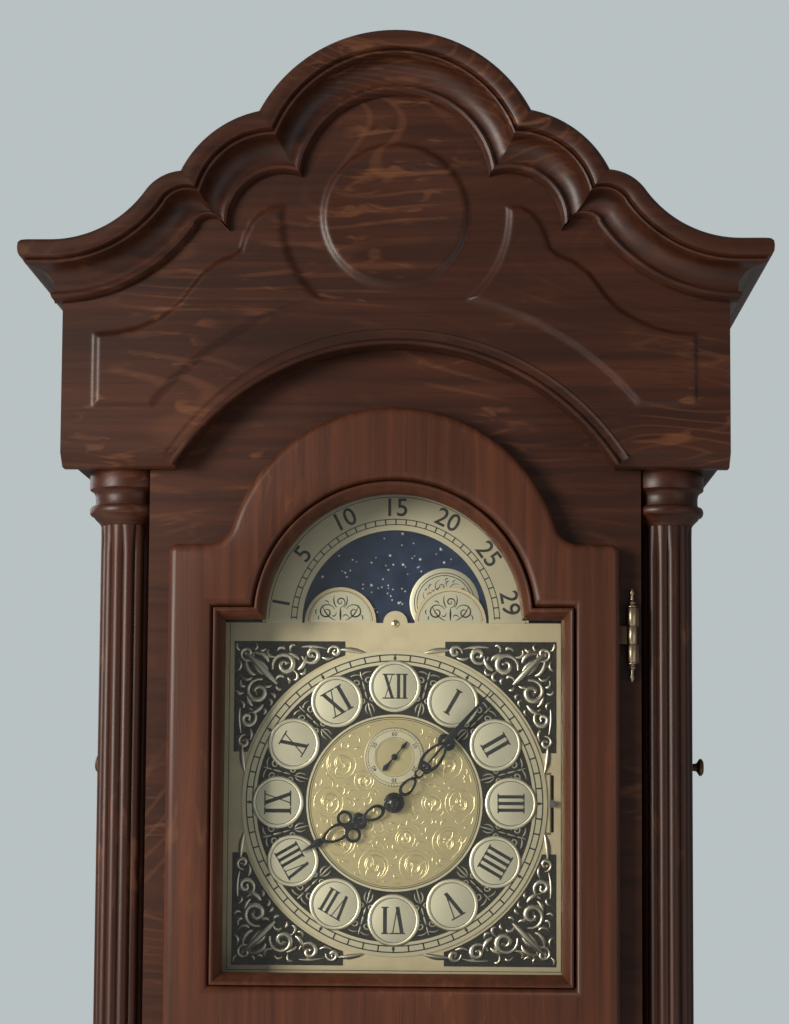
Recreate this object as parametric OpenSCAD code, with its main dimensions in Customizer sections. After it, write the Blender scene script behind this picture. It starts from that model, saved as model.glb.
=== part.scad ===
// Longcase (grandfather) clock: waterfall pediment, arched hood door, moon dial and chain-wound movement.
// Origin on the floor under the middle of the clock, +Z up, the dial faces -Y.

/* [Case] */
// Height of the base box, floor to waist moulding
base_h = 500; // [420:5:620]
// Width of the base box
base_w = 480; // [430:5:540]
// Height of the lower waist moulding
waist_lower_h = 45; // [30:1:60]
// Height of the trunk between its mouldings
trunk_h = 653; // [600:1:900]
// Width of the trunk
trunk_w = 400; // [390:5:430]
// Height of the upper waist moulding, which carries the hood
waist_upper_h = 52; // [40:1:70]
// Thickness of the case boards
board_t = 20; // [16:1:24]
// Thickness of the back board
back_t = 12; // [8:1:16]
// Height of the plinth round the foot of the base
plinth_h = 95; // [70:5:130]
// Distance the plinth stands out from the base box
plinth_out = 18; // [10:1:22]
// Height of the levelling feet under the plinth
foot_h = 12; // [8:1:20]

/* [Hood] */
// Overall depth of the clock, back board to crown moulding
overall_d = 340; // [320:5:400]
// Width of the frieze box
frieze_w = 509; // [500:1:560]
// Distance the crown moulding stands out from the frieze
crown_out = 30; // [20:1:40]
// Height of the crown moulding
crown_h = 44; // [40:1:56]
// Height of the hood's base moulding
hood_base_h = 30; // [22:1:40]
// Thickness of the frieze board
frieze_t = 22; // [18:1:26]
// Diameter of a column shaft
shaft_d = 40; // [34:1:44]
// Diameter of a column capital
capital_d = 58; // [50:1:60]
// Height of a column capital
capital_h = 42; // [34:1:50]
// Height of the raised wings and boss on the frieze board
carve = 3; // [2:0.5:5]

/* [Hood door] */
// Width of the hood door
door_w = 342; // [330:1:350]
// Thickness of the hood door
door_t = 20; // [16:1:22]
// Height of the door below the dial
door_rail = 110; // [100:1:130]
// Width of the door's stiles, edge to glass
door_stile = 42; // [36:1:46]
// Thickness of the door glass
glass_t = 3; // [2:0.5:4]

/* [Dial] */
// Width and height of the square part of the dial
dial_w = 280; // [270:1:290]
// Radius of the dial's arch
arch_r = 104; // [98:1:108]
// Thickness of the dial plate
dial_t = 2; // [1.5:0.5:3]
// Outer radius of the chapter ring
chapter_r = 118.5; // [110:0.5:121]
// Radius of the hour cartouches' circle
cartouche_at = 90.5; // [86:0.5:94]
// Radius of one hour cartouche
cartouche_r = 20.5; // [18:0.5:21.5]
// Radius of the engraved centre disc
centre_r = 67; // [60:0.5:68]
// Length of the minute hand
minute_l = 115; // [100:1:117]
// Length of the hour hand
hour_l = 82; // [70:1:84]

/* [Movement] */
// Width of the movement plates
plate_w = 176; // [170:1:190]
// Thickness of a movement plate
plate_t = 3; // [2.5:0.5:4]
// Distance between the movement plates
plate_gap = 66; // [66:1:80]
// Diameter of the wheel arbors
arbor_d = 4; // [3:0.5:4.5]
// Distance between neighbouring weights
weight_pitch = 62; // [60:1:66]
// Diameter of a weight
weight_d = 50; // [44:1:56]
// Height of a weight's shell
weight_h = 215; // [180:5:240]
// Distance from the movement down to a weight's hook
weight_drop = 420; // [340:10:450]
// Diameter of the pendulum bob
bob_d = 168; // [140:1:190]
// Suspension point to the middle of the bob
pendulum_l = 940; // [900:5:960]
// Width of the wooden pendulum rod
rod_w = 16; // [12:1:20]

/* [Clearances] */
// Gap round a door and between fixed joinery and a moving piece
door_gap = 1.5; // [1:0.5:3]
// Gap on the radius of a running bore
bore_gap = 0.05; // [0.03:0.01:0.08]
// Gap between loose pieces that only rest near each other
loose_gap = 0.4; // [0.3:0.1:0.8]

/* [Hidden] */
seconds_up = 35.4;                              // height of the seconds arbor above the centre

wood = "#5b2e20";
dark_wood = "#3b1f18";
brass = "#c9b483";
steel = "#b9bcc0";
black = "#1c1b1c";
navy = "#23304a";
glass = [0.8, 0.9, 0.92, 0.3];

// Heights, from the floor up
base_z = foot_h;
trunk_z = base_z + base_h + waist_lower_h;
waist_z = trunk_z + trunk_h;
hood_z = waist_z + waist_upper_h;
door_z = hood_z + hood_base_h;

// The dial and the hood door hang together: these heights are measured from the dial's centre
dial_z = door_z + dial_w / 2 + door_rail;
arch_z = dial_z + dial_w / 2;                  // middle of the dial's arch and of the moon disc
shoulder_z = dial_z + 196;                     // square shoulders of the hood door
frieze_z = shoulder_z + 59;                    // underside of the frieze
crown_z = frieze_z + 169;                      // top corner of the crown moulding
apex_z = crown_z + 161;                        // top of the pediment

// Depths: the back of the clock and the fronts of its layers
back_y = overall_d / 2;
frieze_y = -back_y + crown_out;
board_y = frieze_y + frieze_t;                 // face of the board behind the hood door
column_y = frieze_y + 16 + capital_d / 2;
column_x = frieze_w / 2 - 16 - capital_d / 2;
hood_side_x = column_x + shaft_d / 2;          // outer face of the hood's sides
post_y = column_y + shaft_d / 2 + loose_gap;   // the sides start behind the columns
trunk_y = frieze_y + 42;                       // face of the trunk
base_y = trunk_y - 38;                         // face of the base

// Dial stack, front to back
dial_y = frieze_y + 60;
mask_t = 10;
plates_y = dial_y + 22;                        // face of the front movement plate
rear_plate_y = plates_y + plate_t + plate_gap;
rear_y = rear_plate_y + plate_t;
chain_y = plates_y + 33;                       // the three sprockets and the weights
pendulum_y = rear_y + 22;

// Wheel train: module, tooth counts and arbors (x, z from the dial's centre)
great_m = 0.8;
great_teeth = 72;
centre_pinion = 12;
centre_m = 0.8;
centre_teeth = 64;
third_pinion = 8;
third_m = 0.7;
third_teeth = 60;
escape_pinion = 8;
escape_teeth = 30;
escape_r = 17;
great_drop = great_m * (great_teeth + centre_pinion) / 2;
third_reach = centre_m * (centre_teeth + third_pinion) / 2;
escape_reach = third_m * (third_teeth + escape_pinion) / 2;
third_up = (third_reach ^ 2 - escape_reach ^ 2 + seconds_up ^ 2) / (2 * seconds_up);
third_x = sqrt(third_reach ^ 2 - third_up ^ 2);
third_angle = atan2(third_up, third_x);
escape_angle = atan2(seconds_up - third_up, -third_x);
anchor_up = seconds_up + 25;

// Motion work behind the dial: 12 turns of the minute hand to one of the hour hand
motion_m = 0.8;
cannon_teeth = 20;
minute_teeth = 60;
minute_pinion = 16;
hour_teeth = 64;
motion_reach = motion_m * (cannon_teeth + minute_teeth) / 2;

chain_d = 3;
suspension_z = dial_z + anchor_up;
bob_z = suspension_z - pendulum_l;
seat_z = dial_z - 100;
seat_t = 18;
weight_z = seat_z - weight_drop;               // the hooks at rest

// Draws a flat shape upright, its face at y and its thickness behind it
module upright(y, t) {
    translate([0, y + t, 0]) rotate([90, 0, 0]) linear_extrude(t) children();
}

// Places what turns about an axis along Y: children are drawn along +Z and point to the back
module across(x, y, z) {
    translate([x, y, z]) rotate([-90, 0, 0]) children();
}

module box(x0, x1, y0, y1, z0, z1) {
    translate([x0, y0, z0]) cube([x1 - x0, y1 - y0, z1 - z0]);
}

module both_sides() {
    children();
    mirror([1, 0, 0]) children();
}

// Rounded board seen from the front
module rounded(w, h, r) {
    translate([-w / 2 + r, 0]) square([w - 2 * r, h]);
    translate([-w / 2, r]) square([w, h - 2 * r]);
    for (x = [-1, 1], z = [r, h - r]) translate([x * (w / 2 - r), z]) circle(r = r, $fn = 32);
}

// Toothed wheel outline: straight-flanked teeth with a tooth centred on the phase angle
function tooth(a, m, r) = [for (p = [[-0.7, -1.25], [-0.27, 0.8], [0.27, 0.8], [0.7, -1.25]])
    let(rr = r + p[1] * m, aa = a - atan2(p[0] * m, rr)) [rr * cos(aa), rr * sin(aa)]];
module wheel_outline(teeth, m, phase) {
    polygon([for (i = [0 : teeth - 1]) each tooth(phase - i * 360 / teeth, m, m * teeth / 2)]);
}

// Crossed-out wheel of thickness t standing on y, with its arbor's bore left solid
module wheel(teeth, m, phase, y, t, spokes = 5) {
    r = m * teeth / 2;
    upright(y, t) difference() {
        wheel_outline(teeth, m, phase);
        if (spokes > 0) difference() {
            circle(r = r - 4.5 * m, $fn = 64);
            circle(r = 0.28 * r, $fn = 48);
            for (i = [0 : spokes - 1]) rotate(i * 360 / spokes) translate([0, -1.4]) square([r, 2.8]);
        }
    }
}

// Plan of the U-shaped mouldings: a front length and two returns
layer_lap = 0.02;
module moulding_ring(half_w, front_y, out) {
    difference() {
        translate([-half_w - out, front_y - out]) square([2 * (half_w + out), back_y - front_y + out]);
        translate([-half_w, front_y]) square([2 * half_w, back_y - front_y + 1]);
    }
}

// Stepped moulding: each row is [height in the moulding, how far it stands out]
module stepped_ring(z, half_w, front_y, rows) {
    for (i = [0 : len(rows) - 2]) translate([0, 0, z + rows[i][0]])
        linear_extrude(rows[i + 1][0] - rows[i][0] + (i < len(rows) - 2 ? layer_lap : 0))
            moulding_ring(half_w, front_y, rows[i][1]);
}

// ---- Base ----
foot_d = 26;
module leveling_feet() color(steel)
    both_sides() for (y = [base_y + 14, back_y - 40]) translate([base_w / 2 - 24, y, 0]) {
        cylinder(h = foot_h, d = foot_d, $fn = 48);
        translate([0, 0, foot_h]) cylinder(h = board_t + 24, d = 8, $fn = 32);
    }

module foot_bores() {
    both_sides() for (y = [base_y + 14, back_y - 40]) translate([base_w / 2 - 24, y, base_z - 1])
        cylinder(h = board_t + 26, d = 8 + 2 * bore_gap, $fn = 32);
}

module base_boards() color(wood) difference() {
    union() {
        both_sides() box(base_w / 2 - board_t, base_w / 2, base_y + board_t, back_y, base_z + board_t,
            base_z + base_h);
        box(-base_w / 2, base_w / 2, base_y + board_t, back_y, base_z, base_z + board_t);
        box(-base_w / 2 + board_t, base_w / 2 - board_t, back_y - back_t, back_y, base_z + board_t,
            base_z + base_h);
        both_sides() box(trunk_w / 2, base_w / 2 - board_t, base_y + board_t, back_y - back_t,
            base_z + base_h - board_t, base_z + base_h);
    }
    foot_bores();
}

// The plinth's outline has a bracket cut-out between its feet
module plinth_moulding() color(wood) difference() {
    union() {
        stepped_ring(base_z, base_w / 2, base_y, [[0, plinth_out], [plinth_h - 22, plinth_out - 3],
            [plinth_h - 17, plinth_out - 1], [plinth_h - 11, plinth_out - 6], [plinth_h - 5, plinth_out - 13],
            [plinth_h, 0]]);
    }
    translate([0, 0, base_z]) upright(base_y - plinth_out - 1, plinth_out + 2) {
        square([base_w - 150, 32], center = true);
        both_sides() translate([base_w / 2 - 75, 0]) circle(r = 16, $fn = 48);
    }
    foot_bores();
}

base_rail = 62;
module base_front_frame() color(wood) difference() {
    box(-base_w / 2, base_w / 2, base_y, base_y + board_t, base_z, base_z + base_h);
    upright(base_y - 1, board_t + 2) translate([0, base_z + plinth_h + base_rail - 20])
        rounded(base_w - 2 * base_rail, base_h - plinth_h - 2 * base_rail + 20, 3);
    foot_bores();
}

module base_front_panel() color(wood) translate([0, 0, base_z + plinth_h + base_rail - 20]) {
    w = base_w - 2 * base_rail - 2 * loose_gap;
    h = base_h - plinth_h - 2 * base_rail + 20 - 2 * loose_gap;
    translate([0, 0, loose_gap]) upright(base_y + 8, 8) rounded(w, h, 3);
    for (i = [0 : 3]) translate([0, 0, loose_gap + 24 + 4 * i]) upright(base_y + 8 - 1.5 * (i + 1), 1.5)
        translate([-(w / 2 - 24 - 4 * i), 0]) square([w - 48 - 8 * i, h - 48 - 8 * i]);
}

// ---- Trunk ----
// Cove that flares from the trunk: share of the height against share of the flare
cove = [[0, 1], [0.13, 1], [0.27, 0.9], [0.44, 0.68], [0.62, 0.42], [0.8, 0.16], [1, 0.02]];
module waist_mouldings() color(wood) {
    base_out = (base_w - trunk_w) / 2 + 6;
    hood_out = hood_side_x - trunk_w / 2 + 8;
    n = len(cove) - 1;
    stepped_ring(base_z + base_h, trunk_w / 2, trunk_y, [for (c = cove) [c[0] * waist_lower_h, c[1] * base_out]]);
    stepped_ring(waist_z, trunk_w / 2, trunk_y,
        [for (i = [0 : n]) [(1 - cove[n - i][0]) * waist_upper_h, cove[max(0, n - i - 1)][1] * hood_out]]);
}

module trunk_sides() color(wood) difference() {
    both_sides() box(trunk_w / 2 - board_t, trunk_w / 2, trunk_y + board_t, back_y - back_t, base_z + base_h - board_t,
        seat_z);
    column_space();
}

module back_board() color(dark_wood)
    box(-trunk_w / 2, trunk_w / 2, back_y - back_t, back_y, base_z + base_h, frieze_z);

trunk_stile = 52;
trunk_door_h = trunk_h - 2 * 46;
trunk_opening_w = trunk_w - 2 * trunk_stile;
module trunk_door_outline(grow) {
    r = trunk_opening_w / 2 + grow;
    h = trunk_door_h - trunk_opening_w / 2 + 60;
    translate([-r, -grow]) square([2 * r, h + grow]);
    intersection() {
        translate([0, h - r * 0.75]) circle(r = r * 1.25, $fn = 96);
        translate([-r, h]) square([2 * r, r]);
    }
}

module trunk_front_frame() color(wood) difference() {
    box(-trunk_w / 2, trunk_w / 2, trunk_y, trunk_y + board_t, base_z + base_h, hood_z);
    translate([0, 0, trunk_z + 46]) upright(trunk_y - 1, board_t + 2) trunk_door_outline(0);
}

module trunk_door_frame() color(wood) translate([0, 0, trunk_z + 46]) difference() {
    upright(trunk_y, board_t) trunk_door_outline(-door_gap);
    upright(trunk_y - 1, board_t + 2) trunk_door_outline(-trunk_stile + 10);
    upright(trunk_y + 8, glass_t + loose_gap) trunk_door_outline(-trunk_stile + 16);
    across(-trunk_opening_w / 2 + 20, trunk_y - 1, trunk_door_h / 2) cylinder(h = 18, d = 7 + 2 * bore_gap, $fn = 32);
}

module trunk_door_glass() color(glass) translate([0, 0, trunk_z + 46])
    upright(trunk_y + 8 + loose_gap / 2, glass_t) trunk_door_outline(-trunk_stile + 16 - loose_gap);

// Hinges: the outer knuckles are on the fixed leaf, the middle one and the pin on the door's leaf
hinge_h = 42;
knuckle_d = 8;
pin_d = 3;
leaf_t = 1.8;
knuckle_out = knuckle_d / 2 + 0.5;             // the axis stands this far out from the face behind it
knuckle_h = hinge_h / 3;
hood_hinge_reach = 10;                         // door's edge to hinge axis
trunk_hinge_x = trunk_opening_w / 2;
trunk_hinge_y = trunk_y - knuckle_out;
trunk_hinge_z = [trunk_z + 46 + 90, trunk_z + 46 + trunk_door_h - 190];
hood_hinge_x = door_w / 2 + hood_hinge_reach;
hood_hinge_y = board_y - knuckle_out;
hood_hinge_z = [dial_z - 206, dial_z + 128];

// Turned finial on an end of a hinge pin
module finial() rotate_extrude($fn = 48)
    polygon([[0, 0], [4, 0], [4, 2], [2.4, 3.2], [2.2, 4.5], [3.7, 7], [3.5, 9], [2, 11.5], [1, 13], [0, 14]]);

module fixed_leaf() difference() {
    for (s = [-1, 0]) translate([0, 0, knuckle_h * (s + 0.5) * 2 - knuckle_h / 2]) {
        cylinder(h = knuckle_h, d = knuckle_d, $fn = 48);
        translate([0.5, knuckle_out - leaf_t, 0]) cube([5, leaf_t, knuckle_h]);
    }
    translate([0, 0, -hinge_h]) cylinder(h = 2 * hinge_h, d = pin_d + 2 * bore_gap, $fn = 32);
}

module pin_knuckle() {
    h = knuckle_h - loose_gap;
    translate([0, 0, -h / 2]) cylinder(h = h, d = knuckle_d, $fn = 48);
    translate([0, 0, -hinge_h / 2 - loose_gap]) cylinder(h = hinge_h + 2 * loose_gap, d = pin_d, $fn = 32);
    for (s = [0, 1]) mirror([0, 0, s]) translate([0, 0, hinge_h / 2 + loose_gap]) finial();
}

module hinge_leaves() color(brass) {
    for (z = trunk_hinge_z) translate([trunk_hinge_x, trunk_hinge_y, z]) fixed_leaf();
    for (z = hood_hinge_z) translate([hood_hinge_x, hood_hinge_y, z]) fixed_leaf();
}

// The trunk's hinges lie on the faces; the escutcheon round the keyhole is pinned to the door's left stile
key_x = -trunk_opening_w / 2 + 20;
key_z = trunk_z + 46 + trunk_door_h / 2;
module trunk_door_fittings() color(brass) {
    for (z = trunk_hinge_z) translate([trunk_hinge_x, trunk_hinge_y, z]) {
        pin_knuckle();
        translate([-14, knuckle_out - leaf_t, -(knuckle_h - loose_gap) / 2])
            cube([13.5, leaf_t, knuckle_h - loose_gap]);
    }
    upright(trunk_y - 1.5, 1.5) translate([key_x, key_z]) difference() {
        union() {
            circle(r = 9, $fn = 48);
            for (s = [-1, 1]) translate([0, s * 12]) circle(r = 6, $fn = 48);
            translate([-4, -12]) square([8, 24]);
        }
        circle(d = 7 + 2 * bore_gap, $fn = 32);
    }
}

module trunk_door_key() color(brass) {
    across(key_x, trunk_y - 10, key_z) cylinder(h = 24, d = 7, $fn = 48);
    upright(trunk_y - 28, 2.4) translate([key_x, key_z]) difference() {
        circle(r = 10, $fn = 48);
        for (x = [-1, 1]) translate([4.2 * x, 0]) circle(r = 3, $fn = 32);
    }
    across(key_x, trunk_y - 26, key_z) cylinder(h = 17, d = 4, $fn = 32);
}

// ---- Hood ----
hood_rows = [[0, 0], [5, 6], [9, 10], [20, 10], [24, 6], [30, 2]];
module hood_base_moulding() color(wood) {
    rows = [for (r = hood_rows) [r[0] / 30 * hood_base_h, r[1]]];
    front = column_y - capital_d / 2;
    stepped_ring(hood_z, hood_side_x + 2, front, rows);
    difference() {
        box(-hood_side_x - 2, hood_side_x + 2, front, back_y - back_t, hood_z, door_z);
        box(-trunk_w / 2 - loose_gap, trunk_w / 2 + loose_gap, trunk_y + board_t, back_y, hood_z - 1, door_z + 1);
    }
}

panel_y0 = post_y + 45;
panel_y1 = back_y - back_t - 40;
panel_z0 = door_z + 45;
panel_z1 = frieze_z - 45;
// Room for the columns and their turnings in the joinery behind them
module column_space() both_sides() translate([column_x, column_y, door_z - 1]) {
    cylinder(h = frieze_z - door_z + 2, d = shaft_d + 2 * loose_gap, $fn = 96);
    for (z = [0, frieze_z - door_z - capital_h])
        translate([0, 0, z]) cylinder(h = capital_h + 2, d = capital_d + 2 * loose_gap, $fn = 96);
}

module hood_sides() color(wood) both_sides() difference() {
    box(hood_side_x - board_t, hood_side_x, post_y, back_y - back_t, door_z, frieze_z);
    box(hood_side_x - board_t - 1, hood_side_x + 1, panel_y0, panel_y1, panel_z0, panel_z1);
    column_space();
}

module right_panel() {
    g = door_gap;
    box(hood_side_x - board_t, hood_side_x - 4, panel_y0 + g, panel_y1 - g, panel_z0 + g, panel_z1 - g);
    box(hood_side_x - 4, hood_side_x, panel_y0 + 22, panel_y1 - 22, panel_z0 + 22, panel_z1 - 22);
}
module side_panel_right() color(wood) right_panel();
module side_panel_left() color(wood) mirror([1, 0, 0]) right_panel();

knob_y = (panel_y0 + panel_y1) / 2 - 30;
module right_knob() translate([hood_side_x, knob_y, dial_z + 30]) rotate([0, 90, 0]) rotate_extrude($fn = 64)
    polygon([[0, 0], [5.5, 0], [5.5, 1.5], [3, 3], [2.6, 9], [3.4, 14], [7, 16.5], [7, 18.2], [5, 19.6], [0, 20]]);
module side_knob_right() color(brass) right_knob();
module side_knob_left() color(brass) mirror([1, 0, 0]) right_knob();

// Opening of the dial: square below, break-arch above
module dial_opening(half, arch, shoulder) {
    translate([-half, -half]) square([2 * half, half + shoulder]);
    intersection() {
        translate([0, dial_w / 2 - 2]) circle(r = arch, $fn = 128);
        translate([-arch, 0]) square([2 * arch, dial_w / 2 + arch]);
    }
}

// Head arch of the hood front, which shows under the frieze
head_r = 198;
head_z = frieze_z - 105;
module hood_front_board() color(wood) difference() {
    w = column_x - shaft_d / 2 - 1;
    union() {
        box(-w, w, board_y, board_y + board_t, door_z, frieze_z - loose_gap);
        upright(board_y + loose_gap, board_t - loose_gap) intersection() {
            translate([0, head_z]) circle(r = head_r + 12, $fn = 160);
            translate([-w, frieze_z - loose_gap - 1]) square([2 * w, 2 * head_r]);
        }
        // Corner blocks that join it to the hood's sides, above the trunk's top
        both_sides() {
            box(w - board_t, w, board_y + board_t, post_y - 4, door_z, frieze_z);
            box(w - board_t, hood_side_x - board_t, post_y - 4, post_y + 12, seat_z + 40, frieze_z);
        }
    }
    upright(board_y - 1, board_t + 2) translate([0, dial_z]) dial_opening(dial_w / 2 - 3, arch_r + 2, 152);
    column_space();
}

base_turn_h = capital_h;
module column_shafts() color(wood) both_sides() translate([column_x, column_y, door_z + base_turn_h]) {
    h = frieze_z - capital_h - door_z - base_turn_h;
    difference() {
        cylinder(h = h, d = shaft_d, $fn = 96);
        for (i = [0 : 11]) rotate(i * 30 + 15) translate([shaft_d / 2 + 1.6, 0, 8]) cylinder(h = h - 16, r = 3.4, $fn = 24);
    }
}

// Turned capital, drawn upward from the shaft; the base is the same turning upside down
module turning(h) {
    r = capital_d / 2;
    s = shaft_d / 2;
    rotate_extrude($fn = 96) polygon([[0, 0], [s, 0], [s + 1.5, 2], [r - 2, 8], [r - 0.5, 10], [r - 0.5, 13], [r - 2, 15],
        [r - 4.5, 17], [r - 4.5, 24], [r - 2, 27], [r, 28], [r, h], [0, h]]);
}
module column_turnings() color(wood) both_sides() {
    translate([column_x, column_y, frieze_z - capital_h]) turning(capital_h);
    translate([column_x, column_y, door_z + base_turn_h]) mirror([0, 0, 1]) turning(base_turn_h);
}

// ---- Pediment ----
// Waterfall outline, cut back by d from its edge; 0,0 is at the crown's corner height on the centre line
lobe_r = 116;
small_lobe_r = 36.7;
sweep_r = 87.2;
module waterfall(d) {
    w = frieze_w / 2 + crown_out;
    translate([0, 161 - lobe_r]) circle(r = lobe_r - d, $fn = 160);
    both_sides() {
        translate([85.7, 15.3]) circle(r = 85 - d, $fn = 128);
        if (d < small_lobe_r - 1) translate([159, 16]) circle(r = small_lobe_r - d, $fn = 96);
    }
    // The small lobe and the sweep beside it meet where this direction leaves the lobe's centre
    meet = [0.8184, 0.5747];
    half = [[w, -200], [w, -d], [262, -d], [262, 30], [159, 16] + (small_lobe_r - d + 0.02) * meet,
        [150, 30.5 - d / 3], [100, 31]];
    difference() {
        polygon(concat(half, [for (i = [len(half) - 1 : -1 : 0]) [-half[i][0], half[i][1]]]));
        both_sides() translate([260.4, sweep_r]) circle(r = sweep_r + d, $fn = 128);
    }
}

module tympanum_outline(d) difference() {
    intersection() {
        waterfall(d);
        translate([-frieze_w / 2, frieze_z - crown_z]) square([frieze_w, 400]);
    }
    translate([0, head_z - crown_z]) circle(r = head_r, $fn = 160);
}

chamfer = 14;
boss_up = frieze_z - crown_z + 193;
// Raised wing: a lobe beside the boss, then an ogee shoulder that runs out flat, cut round the boss and the arch
module raised_wing() difference() {
    translate([0, frieze_z - crown_z]) intersection() {
        union() {
            translate([95, 177]) circle(r = 21.5, $fn = 64);
            polygon([[60, 40], [60, 190], [84, 195], [112, 160], [124, 161], [136, 157], [148, 147], [165, 124], [182, 112],
                [204, 104], [240, 100], [240, 40]]);
        }
        translate([0, 47]) square([frieze_w / 2 - 26, 200]);
    }
    translate([0, boss_up]) circle(r = 87, $fn = 96);
    translate([0, head_z - crown_z]) circle(r = 240, $fn = 160);
}

module frieze_board() color(wood) difference() {
    union() {
        translate([0, 0, crown_z]) upright(frieze_y, frieze_t) tympanum_outline(3);
        translate([0, 0, crown_z]) upright(frieze_y - carve, carve + 1) {
            both_sides() raised_wing();
            translate([0, boss_up]) circle(r = 55, $fn = 96);
        }
    }
    // Dished face of the boss
    translate([0, frieze_y - carve - 100, crown_z + boss_up]) sphere(r = 102.5, $fn = 96);
    // Chamfer along the frieze's lower edge
    translate([-frieze_w, frieze_y, frieze_z]) rotate([45, 0, 0]) translate([0, -chamfer / 2, -chamfer / 2])
        cube([2 * frieze_w, chamfer, chamfer]);
}

module hood_upper_boards() color(wood) {
    both_sides() difference() {
        box(frieze_w / 2 - board_t, frieze_w / 2, frieze_y + frieze_t, back_y, frieze_z, crown_z - 8);
        translate([frieze_w / 2, 0, frieze_z]) rotate([0, 45, 0])
            translate([-chamfer / 2, frieze_y - 1, -chamfer / 2]) cube([chamfer, overall_d + 2, chamfer]);
    }
    both_sides() box(column_x - shaft_d / 2, frieze_w / 2 - board_t, frieze_y + frieze_t, back_y, frieze_z,
        frieze_z + 12);
    box(-frieze_w / 2 + board_t, frieze_w / 2 - board_t, frieze_y + frieze_t, back_y, crown_z - 20, crown_z - 8);
    box(-frieze_w / 2 + board_t, frieze_w / 2 - board_t, back_y - back_t, back_y, frieze_z + 12, crown_z - 20);
}

// Crown moulding: distance in from the outline's edge against how far it stands out, both as shares
crown_rows = [[0, 0.86], [0.05, 1], [0.3, 1], [0.36, 0.88], [0.44, 0.84], [0.5, 0.62], [0.58, 0.44], [0.68, 0.3],
    [0.8, 0.2], [0.88, 0.24], [0.96, 0.18], [1, 0.06]];
module crown_front() color(wood) translate([0, 0, crown_z]) intersection() {
    for (i = [0 : len(crown_rows) - 2]) {
        out = (crown_rows[i][1] + crown_rows[i + 1][1]) / 2 * crown_out;
        upright(frieze_y - out, out) difference() {
            waterfall(crown_rows[i][0] * crown_h);
            waterfall(crown_rows[i + 1][0] * crown_h);
            translate([-frieze_w, -crown_h - 400]) square([2 * frieze_w, 400]);
        }
    }
    translate([0, 0, -200]) linear_extrude(500) polygon([[-frieze_w / 2, frieze_y], [frieze_w / 2, frieze_y],
        [frieze_w / 2 + crown_out, frieze_y - crown_out], [-frieze_w / 2 - crown_out, frieze_y - crown_out]]);
}

module crown_returns() color(wood) both_sides() intersection() {
    translate([0, back_y, crown_z]) rotate([90, 0, 0]) linear_extrude(overall_d)
        polygon(concat([[frieze_w / 2, 0]], [for (r = crown_rows) [frieze_w / 2 + r[1] * crown_out, -r[0] * crown_h]],
            [[frieze_w / 2, -crown_h]]));
    translate([0, 0, crown_z - 200]) linear_extrude(400) polygon([[frieze_w / 2, frieze_y],
        [frieze_w / 2 + crown_out, frieze_y - crown_out], [frieze_w / 2 + crown_out, back_y], [frieze_w / 2, back_y]]);
}

// ---- Hood door ----
door_y = board_y - 0.5 - door_t;
door_arch_r = 150;
opening_half = door_w / 2 - door_stile;
opening_arch = opening_half - 32;
module door_outline() {
    h = shoulder_z - door_z;
    translate([-door_w / 2, door_z + door_gap]) square([door_w, h - door_gap]);
    intersection() {
        translate([0, shoulder_z - 45]) circle(r = door_arch_r, $fn = 160);
        translate([-door_w / 2, shoulder_z - 1]) square([door_w, door_arch_r]);
    }
}

module hood_door_frame() color(wood) difference() {
    upright(door_y, door_t) door_outline();
    upright(door_y - 1, door_t + 2) translate([0, dial_z]) dial_opening(opening_half, opening_arch, opening_half + 11);
    for (i = [1 : 3]) upright(door_y - 1, 1 + 2 * i) translate([0, dial_z])
        dial_opening(opening_half + 8 - 2 * i, opening_arch + 10 - 2.5 * i, opening_half + 22 - 3 * i);
    upright(door_y + door_t - 10, 11) translate([0, dial_z])
        dial_opening(opening_half + 6, opening_arch + 6, opening_half + 17);
}

module hood_door_glass() color(glass) upright(door_y + door_t - 10, glass_t) translate([0, dial_z])
    dial_opening(opening_half + 6 - loose_gap, opening_arch + 6 - loose_gap, opening_half + 17 - loose_gap);

module hood_door_hinges() color(brass) for (z = hood_hinge_z) translate([hood_hinge_x, hood_hinge_y, z]) {
    h = knuckle_h - loose_gap;
    pin_knuckle();
    translate([-hood_hinge_reach, -1, -h / 2]) cube([hood_hinge_reach - pin_d / 2, 2, h]);
    translate([-hood_hinge_reach, -12, -h / 2]) cube([leaf_t, 14, h]);
}

// ---- Dial ----
module at_dial(x = 0, up = 0) translate([x, 0, dial_z + up]) children();

module dial_plate_outline() {
    square(dial_w, center = true);
    translate([0, dial_w / 2]) circle(r = arch_r, $fn = 128);
}

module dial_mask() color(dark_wood) difference() {
    w = column_x - shaft_d / 2 - board_t - 2;
    box(-w, w, dial_y - mask_t - 2, dial_y - 2, dial_z - dial_w / 2 - 20, frieze_z - 2);
    upright(dial_y - mask_t - 3, mask_t + 2) at_front() dial_opening(dial_w / 2 - 2, arch_r + 1, dial_w / 2 + 6);
}
module at_front() translate([0, dial_z]) children();

// Moon window: half a disc above the arch's middle, less two humps and the hub
moon_r = 73;
hump_x = 43;
hump_r = 28;
module moon_window() difference() {
    intersection() {
        translate([0, dial_w / 2]) circle(r = moon_r, $fn = 128);
        translate([-moon_r, dial_w / 2]) square([2 * moon_r, moon_r]);
    }
    for (s = [-1, 1]) translate([s * hump_x, dial_w / 2]) circle(r = hump_r, $fn = 96);
    translate([0, dial_w / 2]) circle(r = 9.5, $fn = 48);
}

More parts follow.
